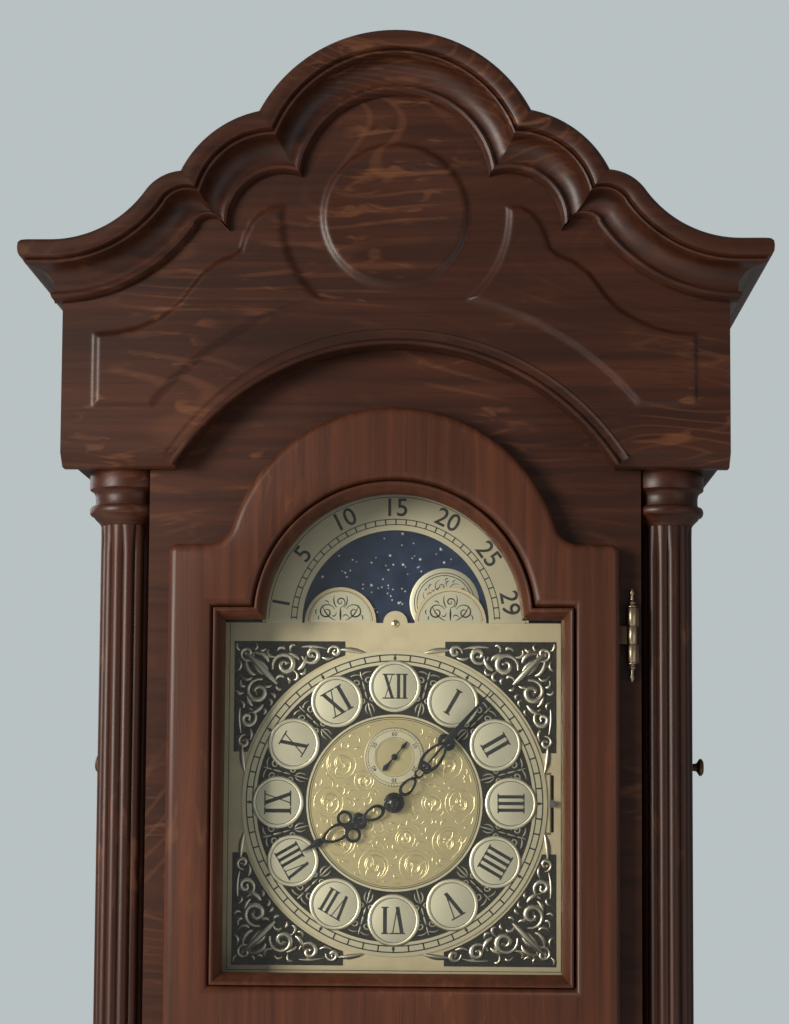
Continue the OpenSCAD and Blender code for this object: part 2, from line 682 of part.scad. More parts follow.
slot_x = chapter_r + 4;
module dial_plate() color(brass) {
    upright(dial_y, dial_t) at_front() difference() {
        dial_plate_outline();
        moon_window();
        circle(r = 7, $fn = 64);
        translate([0, seconds_up]) circle(r = 2, $fn = 32);
        translate([slot_x - 1.2, -22]) square([2.4, 44]);
    }
    // Hub pin that the moon disc turns on
    across(0, dial_y + dial_t, arch_z) cylinder(h = 3.4, r = 3, $fn = 48);
    // Dial feet
    both_sides() for (z = [-66, 64]) across(80, dial_y + dial_t, dial_z + z)
        cylinder(h = plates_y - dial_y - dial_t, d = 7, $fn = 32);
}

module dial_trim() color(brass) {
    // Moon-age ring
    upright(dial_y - 0.8, 0.8) at_front() difference() {
        intersection() {
            translate([0, dial_w / 2]) circle(r = arch_r - 3, $fn = 128);
            translate([-arch_r, dial_w / 2]) square([2 * arch_r, arch_r]);
        }
        translate([0, dial_w / 2]) circle(r = moon_r, $fn = 128);
    }
    // Four cast corner spandrels
    for (sx = [-1, 1], sz = [-1, 1]) upright(dial_y - 1.8, 1.8) at_front() difference() {
        scale([sx, sz]) translate([50, 50]) square(dial_w / 2 - 4 - 50);
        circle(r = chapter_r + 3, $fn = 128);
        translate([slot_x - 4, -24]) square([8, 48]);
    }
    // Engraved centre and the seconds ring on it
    upright(dial_y - 0.8, 0.8) at_front() difference() {
        circle(r = centre_r - loose_gap, $fn = 128);
        circle(r = 7, $fn = 64);
        translate([0, seconds_up]) circle(r = 2, $fn = 32);
    }
    upright(dial_y - 1.4, 0.6) at_front() translate([0, seconds_up]) difference() {
        circle(r = 23, $fn = 96);
        circle(r = 15, $fn = 64);
        translate([0, -seconds_up]) circle(r = 7, $fn = 64);
    }
}

module chapter_ring() color(brass) upright(dial_y - 1.2, 1.2) at_front() difference() {
    circle(r = chapter_r, $fn = 160);
    circle(r = centre_r, $fn = 128);
}

module hour_cartouches() color("#ddd3b0") for (i = [0 : 11]) upright(dial_y - 2.4, 1.2) at_front()
    rotate(i * 30) translate([0, cartouche_at]) circle(r = cartouche_r, $fn = 64);

// The moon disc carries two moons and is driven by its 118 teeth
moon_teeth = 118;
module moon_disc() color(navy) upright(dial_y + dial_t + 0.8, 1) at_front() translate([0, dial_w / 2]) difference() {
    wheel_outline(moon_teeth, 2 * (moon_r + 3) / moon_teeth, 90);
    circle(r = 3 + bore_gap, $fn = 48);
}

module chime_lever() color(steel) at_dial() {
    box(slot_x - 0.8, slot_x + 0.8, dial_y - 3, dial_y + dial_t + 4, -2, 2);
    box(slot_x - 2.4, slot_x + 2.4, dial_y - 4.6, dial_y - 3, -2.4, 2.4);
    box(slot_x - 10, slot_x + 3, dial_y + dial_t + 4, dial_y + dial_t + 5.5, -3, 3);
}

// ---- Hands ----
hour_angle = 242;
minute_angle = 40.7;
seconds_angle = 40;
pipe_r = 4;
hour_pipe_r = 6;
module blade(points_r, angle) rotate(-angle) union() {
    polygon(concat([for (p = points_r) [p[1], p[0]]], [for (i = [len(points_r) - 1 : -1 : 0]) [-points_r[i][1], points_r[i][0]]]));
}

module hour_hand() color(black) {
    wheel_y = dial_y + 9;
    upright(dial_y - 6.2, 1) at_front() difference() {
        union() {
            circle(r = 8, $fn = 64);
            blade([[0, 2.6], [hour_l * 0.35, 2], [hour_l * 0.5, 9], [hour_l * 0.62, 7], [hour_l * 0.7, 8],
                [hour_l * 0.82, 2.2], [hour_l, 0.4]], hour_angle);
        }
        circle(r = pipe_r + 0.3, $fn = 64);
    }
    across(0, dial_y - 6.2, dial_z) difference() {
        cylinder(h = wheel_y + 2 - dial_y + 6.2, r = hour_pipe_r, $fn = 64);
        translate([0, 0, -1]) cylinder(h = 40, r = pipe_r + 0.3, $fn = 64);
    }
    upright(wheel_y, 2) at_front() difference() {
        wheel_outline(hour_teeth, motion_m, minute_stud_angle);
        circle(r = pipe_r + 0.3, $fn = 64);
    }
}

minute_stud_angle = -35;
minute_stud = [motion_reach * cos(minute_stud_angle), motion_reach * sin(minute_stud_angle)];
pinion_y = plates_y - 8;
module minute_hand() color(black) {
    upright(dial_y - 9.8, 1) at_front() difference() {
        union() {
            circle(r = 7, $fn = 64);
            blade([[0, 2.2], [minute_l * 0.1, 4], [minute_l * 0.2, 5], [minute_l * 0.3, 1.4], [minute_l * 0.42, 6.5],
                [minute_l * 0.55, 4], [minute_l * 0.72, 1.3], [minute_l, 0.4]], minute_angle);
        }
        circle(r = arbor_d / 2 + bore_gap, $fn = 48);
    }
    // Cannon pinion on the centre arbor
    across(0, dial_y - 9.8, dial_z) difference() {
        cylinder(h = pinion_y + 4 - dial_y + 9.8, r = pipe_r, $fn = 64);
        translate([0, 0, -1]) cylinder(h = 60, r = arbor_d / 2 + bore_gap, $fn = 48);
    }
    upright(pinion_y, 4) at_front() difference() {
        wheel_outline(cannon_teeth, motion_m, minute_stud_angle);
        circle(r = arbor_d / 2 + bore_gap, $fn = 48);
    }
    // Domed hand nut, bored for the arbor's end
    across(0, dial_y - 9.8, dial_z) mirror([0, 0, 1]) difference() {
        rotate_extrude($fn = 64) polygon([[0, 0], [5, 0], [5, 1.5], [4, 2.6], [2.2, 3.4], [0, 3.6]]);
        translate([0, 0, -1]) cylinder(h = 3, r = arbor_d / 2 + bore_gap, $fn = 48);
    }
}

module minute_wheel() color(brass) difference() {
    union() {
        translate([minute_stud[0], 0, dial_z + minute_stud[1]]) {
            wheel(minute_teeth, motion_m, minute_stud_angle + 180 + 180 / minute_teeth, pinion_y + 0.5, 2.5);
            upright(dial_y + 8, pinion_y + 0.5 - dial_y - 8)
                wheel_outline(minute_pinion, motion_m, minute_stud_angle + 180 + 180 / minute_pinion);
        }
    }
    across(minute_stud[0], dial_y + 7, dial_z + minute_stud[1]) cylinder(h = 20, r = 1.5 + bore_gap, $fn = 32);
}

module seconds_hand() color(black) {
    upright(dial_y - 3.6, 0.6) at_front() translate([0, seconds_up]) union() {
        circle(r = 2.6, $fn = 48);
        blade([[-14, 1.2], [-8, 2.2], [-3, 0.8], [6, 0.8], [10, 2], [16, 0.3]], seconds_angle);
    }
    // Pipe on the escape arbor, which reaches through the dial
    across(0, dial_y - 3, dial_z + seconds_up) difference() {
        cylinder(h = 5, r = 1.6, $fn = 32);
        translate([0, 0, 0.5]) cylinder(h = 6, r = escape_tip_r + bore_gap, $fn = 32);
    }
}

// ---- Movement ----
escape_tip_r = 0.9;
drum_teeth = 42;
drum_x = weight_pitch;
drum_z = -great_drop + great_m * (great_teeth + drum_teeth) / 2;
hammer_x = 60;
hammer_z = 50;
arbor_spots = [[0, -great_drop], [-weight_pitch, -great_drop], [weight_pitch, -great_drop], [third_x, third_up],
    [drum_x, drum_z], [0, anchor_up], [hammer_x, hammer_z]];

module plate_outline() {
    translate([-plate_w / 2, -(dial_z - seat_z - seat_t)]) square([plate_w, dial_z - seat_z - seat_t + 78]);
    for (x = [-1, 1]) translate([x * (plate_w / 2 - 8), 70]) circle(r = 8, $fn = 32);
}
module arbor_holes(r) for (s = arbor_spots) translate(s) circle(r = r + bore_gap, $fn = 48);

module movement_plates() color(brass) {
    upright(plates_y, plate_t) at_front() difference() {
        plate_outline();
        arbor_holes(arbor_d / 2);
        circle(r = arbor_d / 2 + bore_gap, $fn = 48);
        translate([0, seconds_up]) circle(r = 1.5 + bore_gap, $fn = 48);
    }
    upright(rear_plate_y, plate_t) at_front() difference() {
        plate_outline();
        arbor_holes(arbor_d / 2);
        circle(r = arbor_d / 2 + bore_gap, $fn = 48);
        translate([0, seconds_up]) circle(r = arbor_d / 2 + bore_gap, $fn = 48);
    }
    both_sides() for (p = [[weight_pitch / 2, -72], [plate_w / 2 - 8, 68]])
        across(p[0], plates_y + plate_t, dial_z + p[1]) cylinder(h = plate_gap, d = 9, $fn = 48);
    // Stud of the minute wheel
    across(minute_stud[0], pinion_y - 2, dial_z + minute_stud[1]) cylinder(h = plates_y - pinion_y + 2, r = 1.5, $fn = 32);
    // Suspension block that the pendulum hangs from
    box(-9, 9, rear_y, pendulum_y + 7, suspension_z + 8, suspension_z + 20);
}

module seat_board() color(dark_wood) difference() {
    union() {
        box(-trunk_w / 2, trunk_w / 2, trunk_y + board_t + 4, rear_y + 4, seat_z, seat_z + seat_t);
        both_sides() box(86, trunk_w / 2, rear_y + 4, rear_y + 54, seat_z, seat_z + seat_t);
    }
    for (x = [-1, 0, 1]) box(x * weight_pitch - chain_r - 5, x * weight_pitch + chain_r + 5, chain_y - 6, chain_y + 6,
        seat_z - 1, seat_z + seat_t + 1);
    for (y = rod_ys) translate([rods_x, y, seat_z - 1]) cylinder(h = seat_t + 2, d = 6, $fn = 32);
}

module arbor(x, up, y0, y1, d = arbor_d) across(x, y0, dial_z + up) cylinder(h = y1 - y0, d = d, $fn = 48);

module centre_wheel() color(brass) {
    arbor(0, 0, dial_y - 11, rear_y);
    at_dial() {
        wheel(centre_teeth, centre_m, third_angle, chain_y + 7, 2.5);
        upright(chain_y - 17, 7) wheel_outline(centre_pinion, great_m, -90 + 180 / centre_pinion);
    }
}

chain_r = 16;
// Great wheel with its chain sprocket on one arbor
module great_wheel(x, phase) {
    arbor(x, -great_drop, plates_y, rear_y);
    at_dial(x, -great_drop) wheel(great_teeth, great_m, phase, chain_y - 15, 3, 6);
    across(x, chain_y - 5, dial_z - great_drop) rotate_extrude($fn = 96) difference() {
        square([chain_r + 2, 10]);
        translate([chain_r, 5]) circle(r = chain_d / 2 + loose_gap, $fn = 48);
        translate([chain_r - 0.2, 5 - chain_d / 2 - loose_gap]) square([10, chain_d + 2 * loose_gap]);
    }
}
module going_great_wheel() color(brass) great_wheel(0, 90);
module strike_great_wheel() color(brass) great_wheel(-weight_pitch, 90);
module chime_great_wheel() color(brass) great_wheel(weight_pitch, 90);

module third_wheel() color(brass) {
    arbor(third_x, third_up, plates_y, rear_y);
    at_dial(third_x, third_up) {
        upright(chain_y + 4, 8) wheel_outline(third_pinion, centre_m, third_angle + 180 + 180 / third_pinion);
        wheel(third_teeth, third_m, escape_angle, chain_y + 19, 2);
    }
}

module escape_wheel() color(brass) {
    arbor(0, seconds_up, plates_y, rear_y, 3);
    arbor(0, seconds_up, dial_y - 2, plates_y + 1, 2 * escape_tip_r);
    at_dial(0, seconds_up) {
        upright(chain_y + 16, 8) wheel_outline(escape_pinion, third_m, escape_angle + 180 + 180 / escape_pinion);
        upright(chain_y + 27, 2) polygon([for (i = [0 : escape_teeth - 1]) each
            [for (p = [[0, 0], [2, -3.2], [9, -3.2]]) let(a = i * 360 / escape_teeth + p[0], r = escape_r + p[1])
                [r * cos(a), r * sin(a)]]]);
    }
}

// Anchor with its two pallets, its arbor and the crutch that carries the pendulum along
crutch_l = 90;
module anchor() color(steel) {
    arbor(0, anchor_up, plates_y, rear_y + 8);
    upright(chain_y + 27, 2) at_front() translate([0, anchor_up]) {
        circle(r = 5, $fn = 48);
        for (s = [-1, 1]) scale([s, 1]) polygon([[0, 4], [15, -4], [18, -12], [15.4, -13.4], [13, -7], [0, -3]]);
    }
    at_dial(0, anchor_up) {
        across(0, rear_y + 3, 0) cylinder(h = 4, r = 5, $fn = 48);
        box(-2, 2, rear_y + 3, rear_y + 6, -crutch_l, 0);
        box(-6, 6, rear_y + 3, rear_y + 6, -crutch_l - 4, -crutch_l + 4);
        both_sides() box(3.2, 6, rear_y + 6, pendulum_y + 5, -crutch_l - 4, -crutch_l + 4);
    }
}

module chime_drum() color(brass) {
    arbor(drum_x, drum_z, plates_y, rear_y);
    at_dial(drum_x, drum_z) wheel(drum_teeth, great_m, -90 + 180 / drum_teeth, chain_y - 15, 3, 5);
    across(drum_x, chain_y + 2, dial_z + drum_z) cylinder(h = 30, r = 12, $fn = 64);
    for (i = [0 : 15]) across(drum_x, chain_y + 5 + 7 * (i % 4), dial_z + drum_z) rotate(i * 22.5) translate([11, 0, 0])
        rotate([0, 90, 0]) cylinder(h = 3, d = 1.6, $fn = 16);
}

// Five hammers on one arbor beside their rods
rod_count = 5;
rod_ys = [for (i = [0 : rod_count - 1]) rear_y + 10 + 8 * i];
rods_x = 104;
module chime_hammers() color(brass) {
    arbor(hammer_x, hammer_z, plates_y, rear_y + 48);
    for (y = rod_ys) {
        upright(y - 1, 2) at_front() {
            translate([hammer_x, hammer_z]) circle(r = 4.5, $fn = 32);
            translate([hammer_x, hammer_z]) rotate(-68) translate([0, -1.5]) square([84, 3]);
        }
        translate([86, y, dial_z - 30]) rotate([0, 90, 0]) cylinder(h = 14, d = 7, $fn = 48);
    }
}

module chime_rods() color(steel) {
    box(rods_x - 8, rods_x + 30, rod_ys[0] - 6, rod_ys[rod_count - 1] + 6, seat_z + seat_t, seat_z + seat_t + 22);
    for (i = [0 : rod_count - 1]) {
        translate([rods_x, rod_ys[i], seat_z + seat_t + 22]) cylinder(h = 36, d = 3, $fn = 32);
        translate([rods_x, rod_ys[i], seat_z - 320 - 22 * i]) cylinder(h = 320 + 22 * i + seat_t, d = 3, $fn = 32);
    }
}

// ---- Pendulum ----
leader_l = 200;
module pendulum_rod() {
    translate([0, pendulum_y, suspension_z]) {
        color(steel) box(-5, 5, -0.3, 0.3, -14, 7.6);
        color(brass) box(-2.5, 2.5, -2, 2, -leader_l, -14);
        color(wood) box(-rod_w / 2, rod_w / 2, -3, 3, -pendulum_l + 40, -leader_l);
        color(steel) translate([0, 0, -pendulum_l - bob_d / 2 - 26]) cylinder(h = bob_d / 2 + 66, d = 4, $fn = 32);
    }
}

bob_t = 28;
module pendulum_bob() color(brass) difference() {
    across(0, pendulum_y - bob_t / 2, bob_z) rotate_extrude($fn = 128) polygon(concat([[0, 0]],
        [for (i = [0 : 8]) [bob_d / 2 * sin(i * 11.25) , (bob_t / 2 - 2.5) * (1 - cos(i * 11.25))]],
        [for (i = [8 : -1 : 0]) [bob_d / 2 * sin(i * 11.25), bob_t - (bob_t / 2 - 2.5) * (1 - cos(i * 11.25))]]));
    translate([0, pendulum_y, bob_z]) box(-rod_w / 2 - loose_gap, rod_w / 2 + loose_gap, -3 - loose_gap,
        3 + loose_gap, -bob_d, bob_d);
}

module rating_nut() color(brass) translate([0, pendulum_y, bob_z - bob_d / 2 - 12]) difference() {
    cylinder(h = 8, d = 20, $fn = 64);
    translate([0, 0, -1]) cylinder(h = 10, d = 4 + 2 * bore_gap, $fn = 32);
}

// ---- Weights and chains ----
chain_bore = chain_d / 2 + 1.2;
module weight(n) color(brass) translate([n * weight_pitch - chain_r, chain_y, weight_z]) difference() {
    rotate_extrude($fn = 96) polygon([[0, 0], [5, 0], [5, -18], [9, -22], [weight_d / 2 - 6, -25], [weight_d / 2, -30],
        [weight_d / 2, -30 - weight_h], [weight_d / 2 - 6, -35 - weight_h], [8, -38 - weight_h], [6, -46 - weight_h],
        [0, -46 - weight_h]]);
    translate([0, 0, -400]) cylinder(h = 500, r = chain_bore, $fn = 48);
}
module weight_left() weight(-1);
module weight_centre() weight(0);
module weight_right() weight(1);

module chains() color(brass) for (n = [-1 : 1]) {
    x = n * weight_pitch;
    top = dial_z - great_drop;
    low = weight_z - 30 - weight_h;
    translate([x - chain_r, chain_y, low]) cylinder(h = top - low, d = chain_d, $fn = 32);
    translate([x + chain_r, chain_y, low - 90]) cylinder(h = top - low + 90, d = chain_d, $fn = 32);
    across(x, chain_y, top + 0.1) mirror([0, 1, 0]) rotate_extrude(angle = 180, $fn = 96)
        translate([chain_r, 0]) circle(d = chain_d, $fn = 32);
    translate([x + chain_r, chain_y, low - 93.4]) rotate([90, 0, 0]) rotate_extrude($fn = 64)
        translate([3.2, 0]) circle(r = 1, $fn = 24);
}

leveling_feet();
base_boards();
plinth_moulding();
base_front_frame();
base_front_panel();
waist_mouldings();
trunk_sides();
back_board();
trunk_front_frame();
hinge_leaves();
trunk_door_frame();
trunk_door_glass();
trunk_door_fittings();
trunk_door_key();
hood_base_moulding();
hood_sides();
hood_front_board();
column_shafts();
column_turnings();
frieze_board();
hood_upper_boards();
crown_front();
crown_returns();
side_panel_left();
side_panel_right();
side_knob_left();
side_knob_right();
hood_door_frame();
hood_door_glass();
hood_door_hinges();
dial_mask();
dial_plate();
dial_trim();
chapter_ring();
hour_cartouches();
moon_disc();
chime_lever();
hour_hand();
minute_hand();
seconds_hand();
minute_wheel();
movement_plates();
seat_board();
centre_wheel();
going_great_wheel();
third_wheel();
escape_wheel();
anchor();
strike_great_wheel();
chime_great_wheel();
chime_drum();
chime_hammers();
chime_rods();
pendulum_rod();
pendulum_bob();
rating_nut();
weight_left();
weight_centre();
weight_right();
chains();
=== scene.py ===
"""Longcase clock: waterfall pediment, arched hood door, moon dial, brass weights and pendulum.

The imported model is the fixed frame. Every class below builds the finished pieces of one sub-assembly
around it, in metres: outlines are drawn upright in millimetres as (x, z) and placed at a depth y.
"""
import logging
import math
import random
from dataclasses import dataclass
from enum import Enum
from typing import Callable, Iterable, Sequence

import bmesh
import bpy
from mathutils import Matrix, Vector


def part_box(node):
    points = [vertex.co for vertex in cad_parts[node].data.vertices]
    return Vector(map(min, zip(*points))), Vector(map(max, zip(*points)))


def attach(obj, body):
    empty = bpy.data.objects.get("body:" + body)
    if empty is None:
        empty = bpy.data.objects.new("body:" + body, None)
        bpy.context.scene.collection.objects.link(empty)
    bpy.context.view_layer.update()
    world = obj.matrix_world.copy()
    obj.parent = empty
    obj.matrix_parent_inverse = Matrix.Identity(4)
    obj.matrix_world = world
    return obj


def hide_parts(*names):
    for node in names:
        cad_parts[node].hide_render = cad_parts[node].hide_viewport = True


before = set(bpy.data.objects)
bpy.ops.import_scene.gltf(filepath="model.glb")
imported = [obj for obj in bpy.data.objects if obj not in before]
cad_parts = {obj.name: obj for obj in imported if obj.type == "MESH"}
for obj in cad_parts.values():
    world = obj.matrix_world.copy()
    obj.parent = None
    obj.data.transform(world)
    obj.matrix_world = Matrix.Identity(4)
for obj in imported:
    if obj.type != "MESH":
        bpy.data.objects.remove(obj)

logging.basicConfig(level=logging.INFO, format="%(message)s")
log = logging.getLogger("clock")

MM = 0.001
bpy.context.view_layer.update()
Point = tuple[float, float]


class Grain(Enum):
    """The way the grain of a board runs."""

    ACROSS = "x"
    DEEP = "y"
    UP = "z"


# ---- Shader writing ----
class Sock:
    """Wraps an output socket so that maths on it is written as an expression."""

    def __init__(self, maker: "Nodes", socket: bpy.types.NodeSocket) -> None:
        """Keeps the socket and the maker that adds Math nodes beside it."""
        self.maker = maker
        self.socket = socket

    def _math(self, operation: str, first: object, second: object = 0.0) -> "Sock":
        """Adds one Math node.

        Args:
            operation: The Math node's operation.
            first: The first value or socket.
            second: The second value or socket.

        Returns:
            The node's result.
        """
        return self.maker.add("ShaderNodeMath", {"operation": operation}, {0: first, 1: second})

    def __add__(self, other: object) -> "Sock":
        """Sum."""
        return self._math("ADD", self, other)

    __radd__ = __add__

    def __mul__(self, other: object) -> "Sock":
        """Product."""
        return self._math("MULTIPLY", self, other)

    __rmul__ = __mul__

    def __sub__(self, other: object) -> "Sock":
        """Difference."""
        return self._math("SUBTRACT", self, other)

    def __rsub__(self, other: object) -> "Sock":
        """Difference, reflected."""
        return self._math("SUBTRACT", other, self)

    def __truediv__(self, other: object) -> "Sock":
        """Quotient."""
        return self._math("DIVIDE", self, other)

    def __pow__(self, other: object) -> "Sock":
        """Power."""
        return self._math("POWER", self, other)

    def step(self, low: float, high: float) -> "Sock":
        """Rises smoothly from 0 at low to 1 at high."""
        return self.maker.add("ShaderNodeMapRange", {"interpolation_type": "SMOOTHSTEP"},
            {"Value": self, "From Min": low, "From Max": high})

    def most(self, other: object) -> "Sock":
        """The larger of the two."""
        return self._math("MAXIMUM", self, other)


class Nodes:
    """Makes the nodes of one material."""

    def __init__(self, name: str) -> None:
        """Starts an empty material with its output node.

        Args:
            name: The material's name.
        """
        self.material = bpy.data.materials.new(name)
        self.material.use_nodes = True
        self.tree = self.material.node_tree
        self.tree.nodes.clear()
        self.out = self.tree.nodes.new("ShaderNodeOutputMaterial")
        self.place = self.add("ShaderNodeTexCoord", {}, {}, "Object")

    def add(self, kind: str, settings: dict[str, object], values: dict[object, object],
            output: object = 0) -> Sock:
        """Adds any node.

        Args:
            kind: The node's type.
            settings: Attributes of the node, set before its sockets; "ramp" holds a ramp's stops.
            values: A value or a Sock for each named or numbered input.
            output: The output wanted.

        Returns:
            The wanted output, wrapped.
        """
        node = self.tree.nodes.new(kind)
        for key, value in settings.items():
            if key == "ramp":
                while len(node.color_ramp.elements) < len(value):
                    node.color_ramp.elements.new(1.0)
                for stop, (at, colour) in zip(node.color_ramp.elements, value):
                    stop.position = at
                    stop.color = (*colour, 1.0)
            else:
                setattr(node, key, value)
        for key, value in values.items():
            if isinstance(value, Sock):
                self.tree.links.new(value.socket, node.inputs[key])
            else:
                node.inputs[key].default_value = value
        return Sock(self, node.outputs[output])

    def scaled(self, scale: Sequence[float], turn: Sequence[float] = (0, 0, 0)) -> Sock:
        """Object coordinates, turned and then multiplied by a scale for each axis."""
        return self.add("ShaderNodeMapping", {}, {"Vector": self.place, "Rotation": turn, "Scale": scale})

    def noise(self, scale: Sequence[float], detail: float = 3.0, warp: float = 0.0,
            turn: Sequence[float] = (0, 0, 0)) -> Sock:
        """Noise with its own scale along each axis, per metre."""
        return self.add("ShaderNodeTexNoise", {}, {"Vector": self.scaled(scale, turn), "Scale": 1.0,
            "Detail": detail, "Distortion": warp})

    def blend(self, share: Sock, low: Sequence[float], high: object) -> Sock:
        """Mixes two colours by a share; either may be a plain colour or a socket."""
        low = low if isinstance(low, Sock) else (*low, 1.0)
        high = high if isinstance(high, Sock) else (*high, 1.0)
        return self.add("ShaderNodeMix", {"data_type": "RGBA"}, {0: share, 6: low, 7: high}, 2)

    def bump(self, height: Sock, depth: float, strength: float = 1.0) -> Sock:
        """Turns a height into a normal; depth is in metres."""
        return self.add("ShaderNodeBump", {}, {"Height": height, "Distance": depth, "Strength": strength})

    def finish(self, values: dict[str, object]) -> bpy.types.Material:
        """Adds the surface shader.

        Args:
            values: Its inputs by name.

        Returns:
            The finished material.
        """
        shader = self.add("ShaderNodeBsdfPrincipled", {}, values)
        self.tree.links.new(shader.socket, self.out.inputs[0])
        return self.material


@dataclass(frozen=True)
class Oak:
    """Stained oak with pores, ray fleck and cathedral figure under a thin satin varnish."""

    name: str
    grain: Grain = Grain.UP
    dark: tuple[float, float, float] = (0.0265, 0.0078, 0.0036)
    mid: tuple[float, float, float] = (0.074, 0.0215, 0.0093)
    pale: tuple[float, float, float] = (0.190, 0.070, 0.028)
    fleck: float = 0.42
    figure: float = 0.0
    coat: float = 0.05
    rough: float = 0.40

    def stretch(self, along: float, over: float) -> tuple[float, float, float]:
        """Scales for a pattern that runs along the grain."""
        return tuple(along if axis == self.grain.value else over for axis in "xyz")

    def make(self) -> bpy.types.Material:
        """Builds the material."""
        n = Nodes(self.name)
        tilt = (0.0, 0.30, 0.0)
        pores = n.noise(self.stretch(16, 950), 4.0, 0.3)
        streak = n.noise(self.stretch(2.6, 95), 4.0, 0.7)
        cloud = n.noise((4.5, 4.5, 4.5), 2.0)
        curl = n.noise(self.stretch(26, 95), 2.0, 0.9, tilt)
        patch = n.noise((9, 9, 9), 2.0, 0.5).step(0.44, 0.64)
        rays = curl.step(0.56, 0.70) * patch
        tone = (streak * 0.75 + cloud * 0.5 - 0.14).step(0.22, 0.82)
        colour = n.blend(tone, self.dark, self.mid)
        if self.figure:
            bend = n.noise(self.stretch(2.2, 5.0), 1.0, 0.3)
            lines = n.add("ShaderNodeTexWave", {"wave_type": "BANDS", "bands_direction": "X"},
                {"Vector": n.scaled((0.0, 0.0, 0.0)), "Phase Offset": bend * 300.0})
            colour = n.blend(lines.step(0.80, 1.0) * (patch * 0.8 + 0.1) * self.figure, colour, self.pale)
        colour = n.blend(rays * self.fleck, colour, self.pale)
        colour = n.blend(pores.step(0.58, 0.72) * 0.6, colour, tuple(c * 0.55 for c in self.dark))
        rough = pores * 0.16 + cloud * 0.12 + (self.rough - 0.14)
        height = pores * -0.6 + rays * 0.1 + streak * 0.3
        return n.finish({"Base Color": colour, "Roughness": rough, "Coat Weight": self.coat,
            "Coat Roughness": 0.2, "Specular IOR Level": 0.32, "Normal": n.bump(height, 0.00025, 0.5)})


@dataclass(frozen=True)
class Metal:
    """Polished, brushed or matted metal."""

    name: str
    colour: tuple[float, float, float]
    rough: float = 0.25
    matting: float = 0.0
    tarnish: float = 0.25
    metallic: float = 1.0

    def make(self) -> bpy.types.Material:
        """Builds the material."""
        n = Nodes(self.name)
        cloud = n.noise((60, 60, 60), 4.0)
        fine = n.noise((2600, 2600, 2600), 1.0)
        brushed = n.noise((1800, 90, 90), 2.0)
        shade = cloud.step(0.35, 0.72) * self.tarnish
        colour = n.blend(shade, self.colour, tuple(c * 0.55 for c in self.colour))
        rough = cloud * 0.14 + fine * (0.1 + 0.3 * self.matting) + (self.rough - 0.1)
        height = fine * (0.15 + self.matting) + brushed * 0.2
        return n.finish({"Base Color": colour, "Metallic": self.metallic, "Roughness": rough,
            "Normal": n.bump(height, 0.00004 + 0.0001 * self.matting, 0.6)})


@dataclass(frozen=True)
class Enamel:
    """Painted or blackened surface."""

    name: str
    colour: tuple[float, float, float]
    rough: float = 0.3
    coat: float = 0.2

    def make(self) -> bpy.types.Material:
        """Builds the material."""
        n = Nodes(self.name)
        cloud = n.noise((90, 90, 90), 3.0)
        fine = n.noise((1500, 1500, 1500), 1.0)
        colour = n.blend(cloud.step(0.3, 0.75), tuple(c * 0.75 for c in self.colour),
            tuple(min(1.0, c * 1.3 + 0.002) for c in self.colour))
        return n.finish({"Base Color": colour, "Roughness": cloud * 0.15 + (self.rough - 0.07),
            "Coat Weight": self.coat, "Normal": n.bump(fine, 0.00003, 0.4)})


@dataclass(frozen=True)
class Glazing:
    """Thin clear glass that light and view pass through."""

    name: str

    def make(self) -> bpy.types.Material:
        """Builds the material."""
        n = Nodes(self.name)
        smear = n.noise((7, 7, 7), 3.0)
        gloss = n.add("ShaderNodeBsdfPrincipled", {}, {"Base Color": (0.9, 0.95, 0.94, 1.0),
            "Roughness": smear * 0.05 + 0.01, "Specular IOR Level": 0.5, "Alpha": 0.05})
        clear = n.add("ShaderNodeBsdfTransparent", {}, {"Color": (0.97, 0.985, 0.98, 1.0)})
        mix = n.add("ShaderNodeMixShader", {}, {0: 0.2, 1: clear, 2: gloss})
        n.tree.links.new(mix.socket, n.out.inputs[0])
        return n.material


